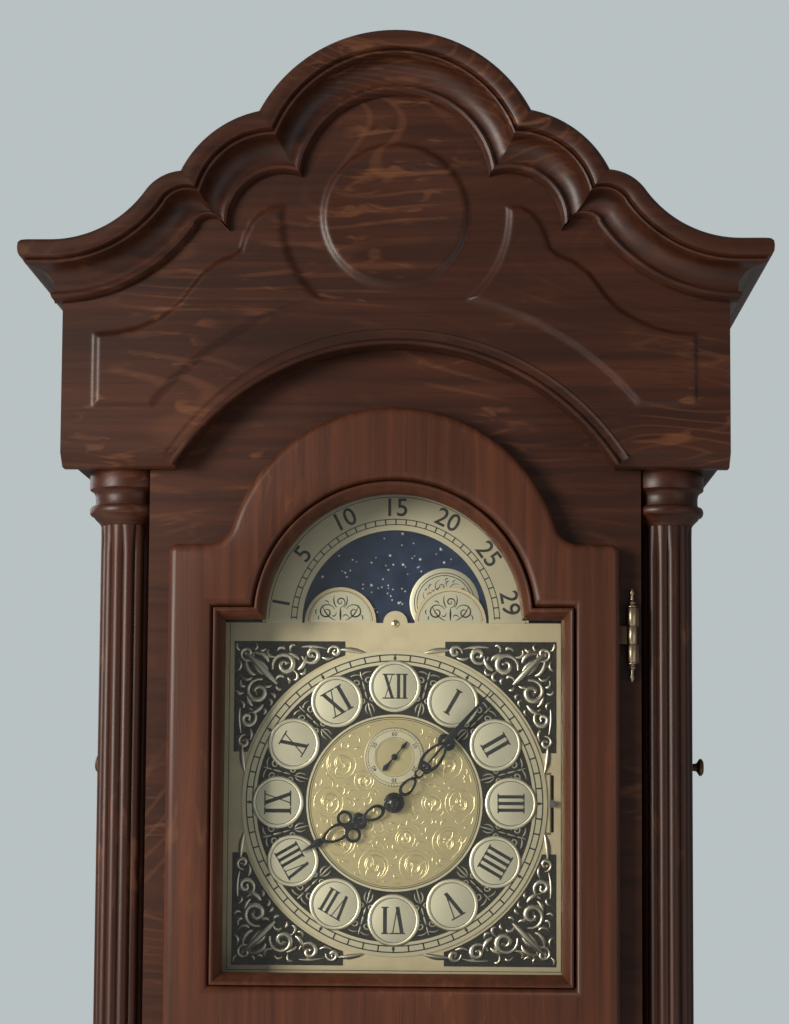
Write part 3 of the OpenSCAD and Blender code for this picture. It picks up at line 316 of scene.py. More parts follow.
class Finishes:
    """Makes each finish once and hands it out by name."""

    def __init__(self) -> None:
        """Lists the clock's finishes."""
        self.recipes = [Oak("oak_up"), Oak("oak_across", Grain.ACROSS), Oak("oak_deep", Grain.DEEP),
            Oak("oak_pediment", Grain.ACROSS, fleck=0.5, figure=0.26),
            Oak("oak_door", Grain.UP, mid=(0.132, 0.041, 0.0185), dark=(0.052, 0.0165, 0.0080), fleck=0.35),
            Oak("oak_inside", Grain.UP, dark=(0.02, 0.009, 0.006), mid=(0.045, 0.018, 0.012), fleck=0.2,
            coat=0.0, rough=0.6), Metal("brass_polished", (0.80, 0.60, 0.28), 0.2),
            Metal("brass_cast", (0.74, 0.67, 0.52), 0.3, 0.25, 0.4),
            Metal("brass_plate", (0.72, 0.61, 0.40), 0.48, 0.7, 0.2),
            Metal("brass_ring", (0.86, 0.76, 0.52), 0.40, 0.35, 0.15),
            Metal("brass_centre", (0.92, 0.76, 0.42), 0.3, 0.5, 0.25),
            Metal("cartouche_silver", (0.93, 0.85, 0.62), 0.38, 0.25, 0.12),
            Metal("antiqued", (0.058, 0.054, 0.047), 0.5, 0.9, 0.5),
            Metal("brass_aged", (0.46, 0.36, 0.24), 0.3, 0.2, 0.5),
            Metal("bronze_dark", (0.17, 0.11, 0.07), 0.32, 0.1, 0.4),
            Metal("steel_bright", (0.62, 0.62, 0.63), 0.22), Enamel("black_enamel", (0.012, 0.012, 0.014),
            0.28), Enamel("engraved_black", (0.02, 0.019, 0.018), 0.55, 0.0),
            Enamel("moon_navy", (0.012, 0.024, 0.060), 0.35, 0.1),
            Enamel("moon_cream", (0.70, 0.66, 0.52), 0.4), Glazing("hood_glass"),]
        self.made: dict[str, bpy.types.Material] = {}

    def __getitem__(self, name: str) -> bpy.types.Material:
        """The material of that name, made when first asked for."""
        if name not in self.made:
            recipe = next(r for r in self.recipes if r.name == name)
            self.made[name] = recipe.make()
        return self.made[name]


FINISH = Finishes()


# ---- Drawing ----
def arc(cx: float, cz: float, r: float, start: float, end: float, steps: int = 24) -> list[Point]:
    """Points along an arc, from one angle to another in degrees."""
    turn = [math.radians(start + (end - start) * i / steps) for i in range(steps + 1)]
    return [(cx + r * math.cos(a), cz + r * math.sin(a)) for a in turn]


def clockwise(r: float, turn: float, z: float) -> Point:
    """The place at a radius and a clockwise angle from the top, about a centre at height z."""
    return r * math.sin(math.radians(turn)), z + r * math.cos(math.radians(turn))


def ring(cx: float, cz: float, r: float, steps: int = 96) -> list[Point]:
    """Points round a full circle."""
    return arc(cx, cz, r, 0, 360, steps)[:-1]


def shifted(points: Iterable[Point], dx: float = 0.0, dz: float = 0.0, turn: float = 0.0) -> list[Point]:
    """Turns points clockwise by degrees about the origin and then moves them."""
    c, s = math.cos(math.radians(-turn)), math.sin(math.radians(-turn))
    return [(x * c - z * s + dx, x * s + z * c + dz) for x, z in points]


def mirrored(half: list[Point]) -> list[Point]:
    """Closes the right half of an outline, listed from the top down, with its left half."""
    return half + [(-x, z) for x, z in reversed(half) if abs(x) > 1e-6]


def meeting(c1: Point, r1: float, c2: Point, r2: float) -> Point:
    """The upper point where two circles meet, or the point between them if they don't."""
    dx, dz = c2[0] - c1[0], c2[1] - c1[1]
    gap = math.hypot(dx, dz)
    along = (gap * gap + r1 * r1 - r2 * r2) / (2 * gap)
    rise = math.sqrt(max(0.0, r1 * r1 - along * along))
    mid = (c1[0] + dx * along / gap, c1[1] + dz * along / gap)
    options = [(mid[0] - dz * rise / gap, mid[1] + dx * rise / gap),
        (mid[0] + dz * rise / gap, mid[1] - dx * rise / gap)]
    return max(options, key=lambda p: p[1])


def angle_of(centre: Point, point: Point) -> float:
    """Direction from a centre to a point, in degrees."""
    return math.degrees(math.atan2(point[1] - centre[1], point[0] - centre[0]))


# ---- Meshes ----
def solid(name: str, verts: Sequence[Sequence[float]], faces: Sequence[Sequence[int]], sharp: float = 40.0,
        flip_check: bool = True) -> bpy.types.Object:
    """Makes a smooth-shaded object from points in millimetres.

    Args:
        name: The piece's name.
        verts: Points as (x, y, z).
        faces: Corner indices of each face.
        sharp: Edges that turn by more than this stay crisp.
        flip_check: Whether to turn the faces outwards.

    Returns:
        The new object, at the origin.
    """
    mesh = bpy.data.meshes.new(name)
    mesh.from_pydata([(x * MM, y * MM, z * MM) for x, y, z in verts], [], faces)
    tidy(mesh, sharp, flip_check)
    obj = bpy.data.objects.new(name, mesh)
    bpy.context.scene.collection.objects.link(obj)
    return obj


def tidy(mesh: bpy.types.Mesh, sharp: float = 40.0, flip_check: bool = True) -> None:
    """Merges doubles, drops empty faces, faces outwards and shades smooth up to an angle."""
    bm = bmesh.new()
    bm.from_mesh(mesh)
    bmesh.ops.remove_doubles(bm, verts=bm.verts, dist=2e-6)
    bmesh.ops.dissolve_degenerate(bm, dist=1e-6, edges=bm.edges)
    if flip_check:
        bmesh.ops.recalc_face_normals(bm, faces=bm.faces)
    bm.to_mesh(mesh)
    bm.free()
    mesh.polygons.foreach_set("use_smooth", [True] * len(mesh.polygons))
    mesh.set_sharp_from_angle(angle=math.radians(sharp))
    mesh.update()


def grid(rows: Sequence[Sequence[Sequence[float]]], wrap_rows: bool = False,
        wrap_columns: bool = False) -> tuple[list, list]:
    """Joins rows of points into quads.

    Args:
        rows: Equal-length rows of (x, y, z).
        wrap_rows: Whether the last row joins the first.
        wrap_columns: Whether each row closes on itself.

    Returns:
        The points and the faces.
    """
    wide = len(rows[0])
    verts = [p for row in rows for p in row]
    faces = []
    for i in range(len(rows) - (0 if wrap_rows else 1)):
        for j in range(wide - (0 if wrap_columns else 1)):
            a, b = i * wide, ((i + 1) % len(rows)) * wide
            k = (j + 1) % wide
            faces.append((a + j, a + k, b + k, b + j))
    return verts, faces


def offset(path: Sequence[Point], by: float, closed: bool) -> list[Point]:
    """Moves a path sideways, to its left, with mitred corners."""
    result = []
    count = len(path)
    for i, (x, z) in enumerate(path):
        before = path[i - 1] if closed or i else path[i]
        after = path[(i + 1) % count] if closed or i < count - 1 else path[i]
        d0 = Vector((x - before[0], z - before[1]))
        d1 = Vector((after[0] - x, after[1] - z))
        d0 = (d0 if d0.length > 1e-9 else d1).normalized()
        d1 = (d1 if d1.length > 1e-9 else d0).normalized()
        n0, n1 = Vector((-d0.y, d0.x)), Vector((-d1.y, d1.x))
        m = (n0 + n1) / max(0.25, 1 + n0.dot(n1))
        result.append((x + m.x * by, z + m.y * by))
    return result


def sweep(name: str, path: Sequence[Point], profile: Sequence[Point],
        place: Callable[[float, float, float], tuple], closed: bool = True,
        sharp: float = 35.0) -> bpy.types.Object:
    """Runs a closed profile along a path with mitred corners.

    Args:
        name: The piece's name.
        path: Points of the path, in its own plane.
        profile: Closed loop of (shift to the left, height out of the plane).
        place: Maps (first, second, height) to (x, y, z).
        closed: Whether the path is a loop.
        sharp: Edges that turn by more than this stay crisp.

    Returns:
        The moulding.
    """
    rows = [[place(a, b, out) for a, b in offset(path, shift, closed)] for shift, out in profile]
    verts, faces = grid(rows, wrap_rows=True, wrap_columns=closed)
    if not closed:
        wide = len(path)
        faces.append(tuple(i * wide for i in range(len(profile))))
        faces.append(tuple(i * wide + wide - 1 for i in reversed(range(len(profile)))))
    return solid(name, verts, faces, sharp)


def upright_at(y: float) -> Callable[[float, float, float], tuple]:
    """Places an upright drawing with its face at depth y; height stands out to the front."""
    return lambda a, b, out: (a, y - out, b)


def lathe(name: str, profile: Sequence[Point], at: Sequence[float], axis: str = "z", segments: int = 64,
        sharp: float = 35.0) -> bpy.types.Object:
    """Turns a profile of (radius, length) about an axis.

    Args:
        name: The piece's name.
        profile: Points from one end to the other.
        at: Origin of the turning in millimetres.
        axis: "z" turns upright; "y" points the length to the front.
        segments: Number of facets.
        sharp: Edges that turn by more than this stay crisp.

    Returns:
        The turned piece.
    """
    rows = []
    for r, length in profile:
        row = []
        for i in range(segments):
            a = 2 * math.pi * i / segments
            u, v = r * math.cos(a), r * math.sin(a)
            p = (u, v, length) if axis == "z" else (u, -length, v)
            row.append((at[0] + p[0], at[1] + p[1], at[2] + p[2]))
        rows.append(row)
    verts, faces = grid(rows, wrap_columns=True)
    faces += [tuple(range(segments)), tuple(range(len(verts) - segments, len(verts)))]
    return solid(name, verts, faces, sharp)


def plate(name: str, outlines: Sequence[Sequence[Point]], y: float, thick: float, bevel: float = 0.0,
        soft: int = 2) -> bpy.types.Object:
    """Cuts a plate from outlines and holes, with eased edges.

    Args:
        name: The piece's name.
        outlines: Closed outlines; one inside another is a hole.
        y: Depth of its front face.
        thick: Its thickness.
        bevel: Radius of the eased edges.
        soft: Rounding steps of the edges.

    Returns:
        The plate, as a mesh.
    """
    curve = bpy.data.curves.new(name, "CURVE")
    curve.dimensions = "2D"
    curve.fill_mode = "BOTH"
    for points in outlines:
        spline = curve.splines.new("POLY")
        spline.points.add(len(points) - 1)
        for p, (x, z) in zip(spline.points, points):
            p.co = (x * MM, z * MM, 0, 1)
        spline.use_cyclic_u = True
    curve.bevel_depth = bevel * MM
    curve.bevel_resolution = soft
    curve.offset = -bevel * MM
    curve.extrude = max(0.0, thick / 2 - bevel) * MM
    return made_mesh(name, curve, Matrix.Translation((0, (y + thick / 2) * MM, 0))
        @ Matrix.Rotation(math.pi / 2, 4, "X"))


def made_mesh(name: str, curve: bpy.types.Curve, place: Matrix, sharp: float = 40.0) -> bpy.types.Object:
    """Turns a curve or a text into a placed mesh object."""
    draft = bpy.data.objects.new(name + ".draft", curve)
    bpy.context.scene.collection.objects.link(draft)
    mesh = bpy.data.meshes.new_from_object(draft.evaluated_get(bpy.context.evaluated_depsgraph_get()))
    bpy.data.objects.remove(draft)
    bpy.data.curves.remove(curve)
    mesh.transform(place)
    tidy(mesh, sharp)
    obj = bpy.data.objects.new(name, mesh)
    bpy.context.scene.collection.objects.link(obj)
    return obj


def tube(name: str, lines: Sequence[Sequence[tuple[float, float, float]]], y: float, depth: float,
        flat: float = 0.7, segments: int = 3) -> bpy.types.Object:
    """Draws raised scroll work as round wires that lie half sunk in a face.

    Args:
        name: The piece's name.
        lines: Wires, each a list of (x, z, thickness share).
        y: Depth of the face they lie on.
        depth: Radius of a full-thickness wire.
        flat: How far the relief is flattened.
        segments: Rounding of the wires.

    Returns:
        The relief, as a mesh.
    """
    curve = bpy.data.curves.new(name, "CURVE")
    curve.dimensions = "3D"
    curve.bevel_depth = depth * MM
    curve.bevel_resolution = segments
    curve.use_fill_caps = True
    for points in lines:
        spline = curve.splines.new("POLY")
        spline.points.add(len(points) - 1)
        for p, (x, z, share) in zip(spline.points, points):
            p.co = (x * MM, z * MM, 0, 1)
            p.radius = share
    place = Matrix.Translation((0, y * MM, 0)) @ Matrix.Rotation(math.pi / 2, 4,
        "X") @ Matrix.Diagonal((1, 1, flat, 1))
    return made_mesh(name, curve, place, 60.0)


def joined(name: str, parts: Sequence[bpy.types.Object]) -> bpy.types.Object:
    """Joins objects into one and keeps each one's material."""
    bm = bmesh.new()
    target = bpy.data.meshes.new(name)
    for part in parts:
        for slot in part.data.materials:
            if slot.name not in target.materials:
                target.materials.append(slot)
        bm.from_mesh(part.data)
    bm.to_mesh(target)
    bm.free()
    if target.materials:
        index = 0
        order = [m.name for m in target.materials]
        for part in parts:
            which = order.index(part.data.materials[0].name)
            for _ in part.data.polygons:
                target.polygons[index].material_index = which
                index += 1
    for part in parts:
        old = part.data
        bpy.data.objects.remove(part)
        bpy.data.meshes.remove(old)
    target.set_sharp_from_angle(angle=math.radians(40))
    obj = bpy.data.objects.new(name, target)
    bpy.context.scene.collection.objects.link(obj)
    return obj


# ---- Geometry Nodes ----
class Repeat:
    """A Geometry Nodes tree that repeats an item, with named inputs, evaluated to a plain mesh."""

    def __init__(self, name: str, inputs: dict[str, tuple[str, object]]) -> None:
        """Starts the tree.

        Args:
            name: The tree's name.
            inputs: For each input its socket type and its value.
        """
        self.name = name
        self.tree = bpy.data.node_groups.new(name, "GeometryNodeTree")
        self.values = inputs
        self.tree.interface.new_socket("Geometry", in_out="OUTPUT", socket_type="NodeSocketGeometry")
        for key, (kind, _) in inputs.items():
            self.tree.interface.new_socket(key, in_out="INPUT", socket_type=kind)
        self.source = self.tree.nodes.new("NodeGroupInput")

    def add(self, kind: str, settings: dict[str, object], values: dict[object, object],
            output: object = 0) -> bpy.types.NodeSocket:
        """Adds a node; a string value starting with "=" links the input of that name."""
        node = self.tree.nodes.new(kind)
        for key, value in settings.items():
            setattr(node, key, value)
        for key, value in values.items():
            if isinstance(value, str) and value.startswith("="):
                self.tree.links.new(self.source.outputs[value[1:]], node.inputs[key])
            elif isinstance(value, bpy.types.NodeSocket):
                self.tree.links.new(value, node.inputs[key])
            else:
                node.inputs[key].default_value = value
        return node.outputs[output]

    def build(self, piece: str, instances: bpy.types.NodeSocket, finish: str) -> bpy.types.Object:
        """Realizes the instances, sets the finish and evaluates the tree.

        Args:
            piece: The new piece's name.
            instances: The last node's geometry.
            finish: The finish of the piece.

        Returns:
            A plain mesh object without the modifier.
        """
        real = self.add("GeometryNodeRealizeInstances", {}, {0: instances})
        done = self.add("GeometryNodeSetMaterial", {}, {"Geometry": real, "Material": FINISH[finish]})
        out = self.tree.nodes.new("NodeGroupOutput")
        self.tree.links.new(done, out.inputs[0])
        draft = bpy.data.objects.new(piece + ".draft", bpy.data.meshes.new(piece))
        bpy.context.scene.collection.objects.link(draft)
        modifier = draft.modifiers.new("repeat", "NODES")
        modifier.node_group = self.tree
        for item in self.tree.interface.items_tree:
            if item.in_out == "INPUT":
                modifier[item.identifier] = self.values[item.name][1]
        draft.update_tag()
        mesh = bpy.data.meshes.new_from_object(draft.evaluated_get(bpy.context.evaluated_depsgraph_get()))
        mesh.name = piece
        draft.modifiers.remove(modifier)
        bpy.data.objects.remove(draft)
        mesh.materials.clear()
        mesh.materials.append(FINISH[finish])
        mesh.polygons.foreach_set("material_index", [0] * len(mesh.polygons))
        tidy(mesh, 40.0, False)
        obj = bpy.data.objects.new(piece, mesh)
        bpy.context.scene.collection.objects.link(obj)
        return obj


def round_the_dial(piece: str, item: bpy.types.Object, count: int, radius: float, centre: Point, y: float,
        finish: str, start: float = 0.0, spread: float = 360.0) -> bpy.types.Object:
    """Repeats an item clockwise round a centre, each copy turned with its place.

    Args:
        piece: The new piece's name.
        item: Drawn at the origin, outwards along +X, its face towards +Z; it is used up.
        count: Number of copies.
        radius: Distance from the centre, in millimetres.
        centre: The centre's x and z.
        y: Depth of the face that the copies lie on.
        finish: The finish of the copies.
        start: Clockwise degrees from the top to the first copy.
        spread: Degrees over which the copies are spread.

    Returns:
        The copies as one piece.
    """
    tree = Repeat(piece, {"Item": ("NodeSocketObject", item), "Count": ("NodeSocketInt", count),
        "Radius": ("NodeSocketFloat", radius * MM), "Step": ("NodeSocketFloat", 0.0),
        "Start": ("NodeSocketFloat", math.radians(90 - start))})
    tree.values["Step"] = ("NodeSocketFloat", -math.radians(spread) / (count if spread >= 360 else count
        - 1))
    points = tree.add("GeometryNodeMeshLine", {}, {"Count": "=Count", "Offset": (0, 0, 0)})
    index = tree.add("GeometryNodeInputIndex", {}, {})
    turn = tree.add("ShaderNodeMath", {"operation": "MULTIPLY_ADD"}, {0: index, 1: "=Step", 2: "=Start"})
    out_x = tree.add("ShaderNodeMath", {"operation": "COSINE"}, {0: turn})
    out_z = tree.add("ShaderNodeMath", {"operation": "SINE"}, {0: turn})
    there = tree.add("ShaderNodeCombineXYZ", {}, {0: out_x, 1: out_z})
    there = tree.add("ShaderNodeVectorMath", {"operation": "SCALE"}, {0: there, "Scale": "=Radius"})
    moved = tree.add("GeometryNodeSetPosition", {}, {"Geometry": points, "Offset": there})
    turned = tree.add("ShaderNodeCombineXYZ", {}, {2: turn})
    shape = tree.add("GeometryNodeObjectInfo", {}, {"Object": "=Item"}, "Geometry")
    copies = tree.add("GeometryNodeInstanceOnPoints", {}, {"Points": moved, "Instance": shape,
        "Rotation": turned})
    placed = tree.add("GeometryNodeTransform", {}, {"Geometry": copies, "Rotation": (math.pi / 2, 0, 0),
        "Translation": (centre[0] * MM, y * MM, centre[1] * MM)})
    result = tree.build(piece, placed, finish)
    bpy.data.objects.remove(item)
    return result


def along_a_line(piece: str, item: bpy.types.Object, start: Sequence[float], end: Sequence[float],
        pitch: float, finish: str) -> bpy.types.Object:
    """Repeats an item along an upright line, every second copy turned a quarter, as links of a chain."""
    tree = Repeat(piece, {"Item": ("NodeSocketObject", item), "Pitch": ("NodeSocketFloat", pitch * MM),
        "Start": ("NodeSocketVector", [v * MM for v in start]), "End": ("NodeSocketVector",
        [v * MM for v in end])})
    line = tree.add("GeometryNodeCurvePrimitiveLine", {}, {"Start": "=Start", "End": "=End"})
    points = tree.add("GeometryNodeCurveToPoints", {"mode": "LENGTH"}, {"Curve": line, "Length": "=Pitch"})
    index = tree.add("GeometryNodeInputIndex", {}, {})
    quarter = tree.add("ShaderNodeMath", {"operation": "MULTIPLY"}, {0: index, 1: math.pi / 2})
    turned = tree.add("ShaderNodeCombineXYZ", {}, {2: quarter})
    shape = tree.add("GeometryNodeObjectInfo", {}, {"Object": "=Item"}, "Geometry")
    copies = tree.add("GeometryNodeInstanceOnPoints", {}, {"Points": points, "Instance": shape,
        "Rotation": turned})
    result = tree.build(piece, copies, finish)
    bpy.data.objects.remove(item)
    return result


# ---- The clock ----
@dataclass(frozen=True)
class Datums:
    """Places of the clock in millimetres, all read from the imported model."""

    @staticmethod
    def low(node: str) -> Vector:
        """Lowest corner of a node's box."""
        return Vector(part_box(node)[0]) / MM

    @staticmethod
    def high(node: str) -> Vector:
        """Highest corner of a node's box."""
        return Vector(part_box(node)[1]) / MM

    @classmethod
    def middle(cls, node: str) -> Vector:
        """Middle of a node's box."""
        return (cls.low(node) + cls.high(node)) / 2


AT = Datums
DIAL_Z = AT.middle("chapter_ring").z
DIAL_HALF = AT.high("dial_plate").x
ARCH_Z = DIAL_Z + DIAL_HALF
DIAL_Y = AT.low("dial_plate").y
FRIEZE_Z = AT.low("frieze_board").z
FRIEZE_HALF = AT.high("frieze_board").x
CROWN_HALF = AT.high("crown_front").x
CROWN_OUT = CROWN_HALF - FRIEZE_HALF
FRIEZE_Y = AT.low("crown_front").y + CROWN_OUT
APEX_Z = AT.high("crown_front").z
CROWN_Z = AT.high("crown_returns").z
CROWN_H = CROWN_Z - AT.low("crown_returns").z
BACK_Y = AT.high("crown_returns").y
HEAD_Z = FRIEZE_Z - 105.0
DOOR_Y = AT.low("hood_door_frame").y
BOARD_Y = AT.low("hood_front_board").y


class SubAssembly:
    """Pieces that are built together."""

    def put(self, piece: bpy.types.Object, finish: str, slot: str, nodes: Sequence[str] = (),
            body: str = "case") -> bpy.types.Object:
        """Finishes a piece, lets it ride and logs it.

        Args:
            piece: The piece.
            finish: Its finish; an empty name keeps what it has.
            slot: Not used.
            nodes: CAD nodes that it replaces.
            body: The body that it rides on.

        Returns:
            The piece.
        """
        if finish:
            piece.data.materials.clear()
            piece.data.materials.append(FINISH[finish])
        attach(piece, body)
        if nodes:
            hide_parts(*nodes)
        log.info("%-28s on %-16s %6d faces", piece.name, body, len(piece.data.polygons))
        return piece

    def dress(self, finish: str, *nodes: str) -> None:
        """Gives CAD nodes a finish and leaves their shape as it is."""
        for node in nodes:
            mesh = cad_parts[node].data
            for index in range(max(1, len(mesh.materials))):
                if index < len(mesh.materials):
                    mesh.materials[index] = FINISH[finish]
                else:
                    mesh.materials.append(FINISH[finish])
            log.info("%-28s dressed in %s", node, finish)


@dataclass
class Pediment(SubAssembly):
    """Waterfall crown moulding, the carved frieze board below it and the upper boards."""

    main: tuple[float, float, float] = (0.0, 45.0, 116.0)
    second: tuple[float, float, float] = (85.7, 15.3, 85.0)
    small: tuple[float, float, float] = (159.0, 16.0, 36.7)
    small_inner: tuple[float, float, float] = (140.0, 8.0, 14.0)
    sweep_r: float = 87.2
    sweep_x: float = 260.4
    head_r: float = 198.0
    band_r: float = 240.0
    boss_up: float = 193.0
    boss_r: float = 55.0
    boss_clear: float = 87.0
    carve: float = 3.0
    ease: float = 2.8
    dish: float = 1.6
    wing: Sequence[Point] = ((60, 190), (80, 196), (89, 199), (96, 198.5), (104, 194), (110, 187),
        (115, 176), (118, 166), (124, 161.5), (135, 157), (147, 148), (156, 136), (165, 124.5), (174, 117),
        (183, 111.5), (197, 105.5), (212, 102), (229, 100.5))
    edge: float = 26.0
    rail: float = 47.0

    def outline(self, share: float) -> list[Point]:
        """Right half of the crown's outline above its corner, from the apex out to where it runs flat.

        Args:
            share: 0 at the outer edge and 1 at the lower edge of the moulding.

        Returns:
            The points, as many for every share.
        """
        inset = share * CROWN_H
        outer, inner = self.half_outline(0.0, self.small), self.half_outline(CROWN_H, self.small_inner)
        mixed = [(a[0] + (b[0] - a[0]) * share, a[1] + (b[1] - a[1]) * share) for a, b in zip(outer, inner)]
        return [(x, z if x < self.sweep_x - 1e-6 else -inset) for x, z in mixed]

    def half_outline(self, inset: float, small: tuple[float, float, float]) -> list[Point]:
        """Right half of the outline with its lobes drawn in by an inset."""
        m, s = self.main, self.second
        r0, r1 = m[2] - inset, s[2] - inset
        valley = meeting(m[:2], r0, s[:2], r1)
        dip = meeting(s[:2], r1, small[:2], small[2])
        wide = self.sweep_r + inset
        centre = (self.sweep_x, self.sweep_r)
        leave = angle_of(small[:2], centre)
        foot = (small[0] + small[2] * math.cos(math.radians(leave)),
            small[1] + small[2] * math.sin(math.radians(leave)))
        points = arc(m[0], m[1], r0, 90, angle_of(m[:2], valley), 40)
        points += arc(s[0], s[1], r1, angle_of(s[:2], valley), angle_of(s[:2], dip), 32)
        points += arc(small[0], small[1], small[2], angle_of(small[:2], dip), leave, 18)
        return points + arc(centre[0], centre[1], wide, angle_of(centre, foot) % 360, 270, 28)

    def crown_profile(self) -> list[Point]:
        """The crown moulding's section: share of its height down, share of its projection out."""
        band = [(0.0, 0.80), (0.03, 0.92), (0.08, 0.985), (0.16, 1.0), (0.25, 0.99), (0.31, 0.95),
            (0.335, 0.88)]
        bead = [(0.345, 0.80), (0.36, 0.84), (0.385, 0.865), (0.41, 0.84), (0.425, 0.79), (0.435, 0.72)]
        cove = [(0.44 + 0.37 * (1 - math.cos(a)), 0.70 - 0.54 * math.sin(a))
            for a in (math.radians(d) for d in range(0, 91, 10))]
        ovolo = [(0.83, 0.17), (0.84, 0.25), (0.88, 0.275), (0.93, 0.25), (0.97, 0.17), (1.0, 0.05)]
        return band + bead + cove + ovolo

    def build(self) -> None:
        """Builds every piece of the pediment."""
        self.crown()
        self.frieze()
        self.arch_bead()
        self.dress("oak_inside", "hood_upper_boards")

    def crown(self) -> None:
        """The front length with its lobes and the two returns, mitred at the corners."""
        rows, side = [], []
        for share, out in [(0.0, 0.0)] + self.crown_profile() + [(1.0, 0.0)]:
            reach, y = out * CROWN_OUT, FRIEZE_Y - out * CROWN_OUT
            half = self.outline(share) + [(FRIEZE_HALF + reach, -share * CROWN_H)]
            front = [(-x, y, CROWN_Z + z) for x, z in reversed(half[1:])] + [(x, y, CROWN_Z + z) for x,
                z in half]
            rows.append(front)
            side.append([(FRIEZE_HALF + reach, y, CROWN_Z - share * CROWN_H),
                (FRIEZE_HALF + reach, BACK_Y, CROWN_Z - share * CROWN_H)])
        verts, faces = grid(rows, wrap_rows=True)
        wide = len(rows[0])
        faces += [tuple(i * wide for i in range(len(rows))), tuple(i * wide + wide - 1
            for i in range(len(rows)))]
        self.put(solid("crown_moulding_front", verts, faces, 30), "oak_pediment", "oak", ["crown_front"])
        parts = []
        for s in (1, -1):
            verts, faces = grid([[(s * x, y, z) for x, y, z in row] for row in side], wrap_rows=True)
            faces += [tuple(2 * i for i in range(len(side))), tuple(2 * i + 1 for i in range(len(side)))]
            part = solid("return", verts, faces, 30)
            part.data.materials.append(FINISH["oak_deep"])
            parts.append(part)
        self.put(joined("crown_moulding_returns", parts), "", "oak", ["crown_returns"])

    def head(self, x: float) -> float:
        """Height of the frieze's lower edge at x."""
        return max(FRIEZE_Z, HEAD_Z + math.sqrt(max(0.0, self.head_r ** 2 - x * x)))

    def top(self, x: float) -> float:
        """Height at which the board disappears behind the crown at x."""
        x, best = abs(x), 0.0
        for cx, cz, r in (self.main, self.second, self.small):
            r -= 6.0
            if abs(x - cx) < r:
                best = max(best, cz + math.sqrt(r * r - (x - cx) ** 2))
        if x > 180:
            r = self.sweep_r + 6
            gap = abs(x - self.sweep_x)
            best = max(best, self.sweep_r - math.sqrt(r * r - gap * gap)) if x < self.sweep_x else best
        return CROWN_Z + max(best, -6.0)

    def wing_edge(self, u: float) -> tuple[float, float]:
        """Upper edge of a raised wing at a distance from the middle: its height and its slope."""
        for (u0, v0), (u1, v1) in zip(self.wing, self.wing[1:]):
            if u <= u1:
                slope = (v1 - v0) / (u1 - u0)
                return v0 + slope * (u - u0), slope
        return self.wing[-1][1], 0.0

    def relief(self, x: float, z: float) -> float:
        """How far the face lies behind the board's plane: negative on the raised wings and boss."""
        u, v = abs(x), z - FRIEZE_Z
        boss = math.hypot(u, v - self.boss_up)
        arch = math.hypot(u, z - HEAD_Z)
        edge, slope = self.wing_edge(u)
        outside = max((v - edge) / math.sqrt(1 + slope * slope), self.boss_clear - boss, self.band_r - arch,
            u - FRIEZE_HALF + self.edge, self.rail - v)
        outside = min(outside, boss - self.boss_r)
        t = min(1.0, max(0.0, (self.ease - outside) / (2 * self.ease)))
        rise = self.carve * t * t * (3 - 2 * t)
        if boss < self.boss_r:
            rise -= self.dish * (1 - (boss / self.boss_r) ** 2)
        return -rise

    def frieze(self) -> None:
        """The carved board, its face a fine net that follows the carving."""
        columns, rows = 300, 150
        xs = [-FRIEZE_HALF + 2 * FRIEZE_HALF * i / columns for i in range(columns + 1)]
        back = AT.high("frieze_board").y
        net = []
        for j in range(rows + 1):
            row = []
            for x in xs:
                low, high = self.head(x), self.top(x)
                z = low + (high - low) * j / rows
                cut = max(0.0, 10.0 - (z - FRIEZE_Z)) if self.head(x) <= FRIEZE_Z + 1e-6 else 0.0
                row.append((x, FRIEZE_Y + (cut if cut > 0 else self.relief(x, z)), z))
            net.append(row)
        net.append([(x, back, z) for x, _, z in net[-1]])
        net.insert(0, [(x, back, z) for x, _, z in net[0]])
        verts, faces = grid(net, wrap_rows=True)
        wide = len(xs)
        faces += [tuple(i * wide for i in range(len(net))), tuple(i * wide + wide - 1
            for i in range(len(net)))]
        self.put(solid("frieze_carved_board", verts, faces, 50), "oak_pediment", "oak", ["frieze_board"])

    def arch_bead(self) -> None:
        """Bead and cove that edge the board's arch above the door."""
        half = math.degrees(math.acos(105.0 / self.head_r))
        path = arc(0, HEAD_Z, self.head_r, 90 + half, 90 - half, 72)
        profile = [(0, -2), (0, 1.6), (0.8, 2.6), (2.2, 2.9), (3.6, 2.2), (4.2, 0.6), (5.5, -0.6),
            (8.5, -0.4), (10.5, 0.6), (11.4, 0.9), (12.2, 0.2), (12.2, -2)]
        piece = sweep("frieze_arch_bead", path, profile, upright_at(FRIEZE_Y), closed=False)
        self.put(piece, "oak_pediment", "oak")


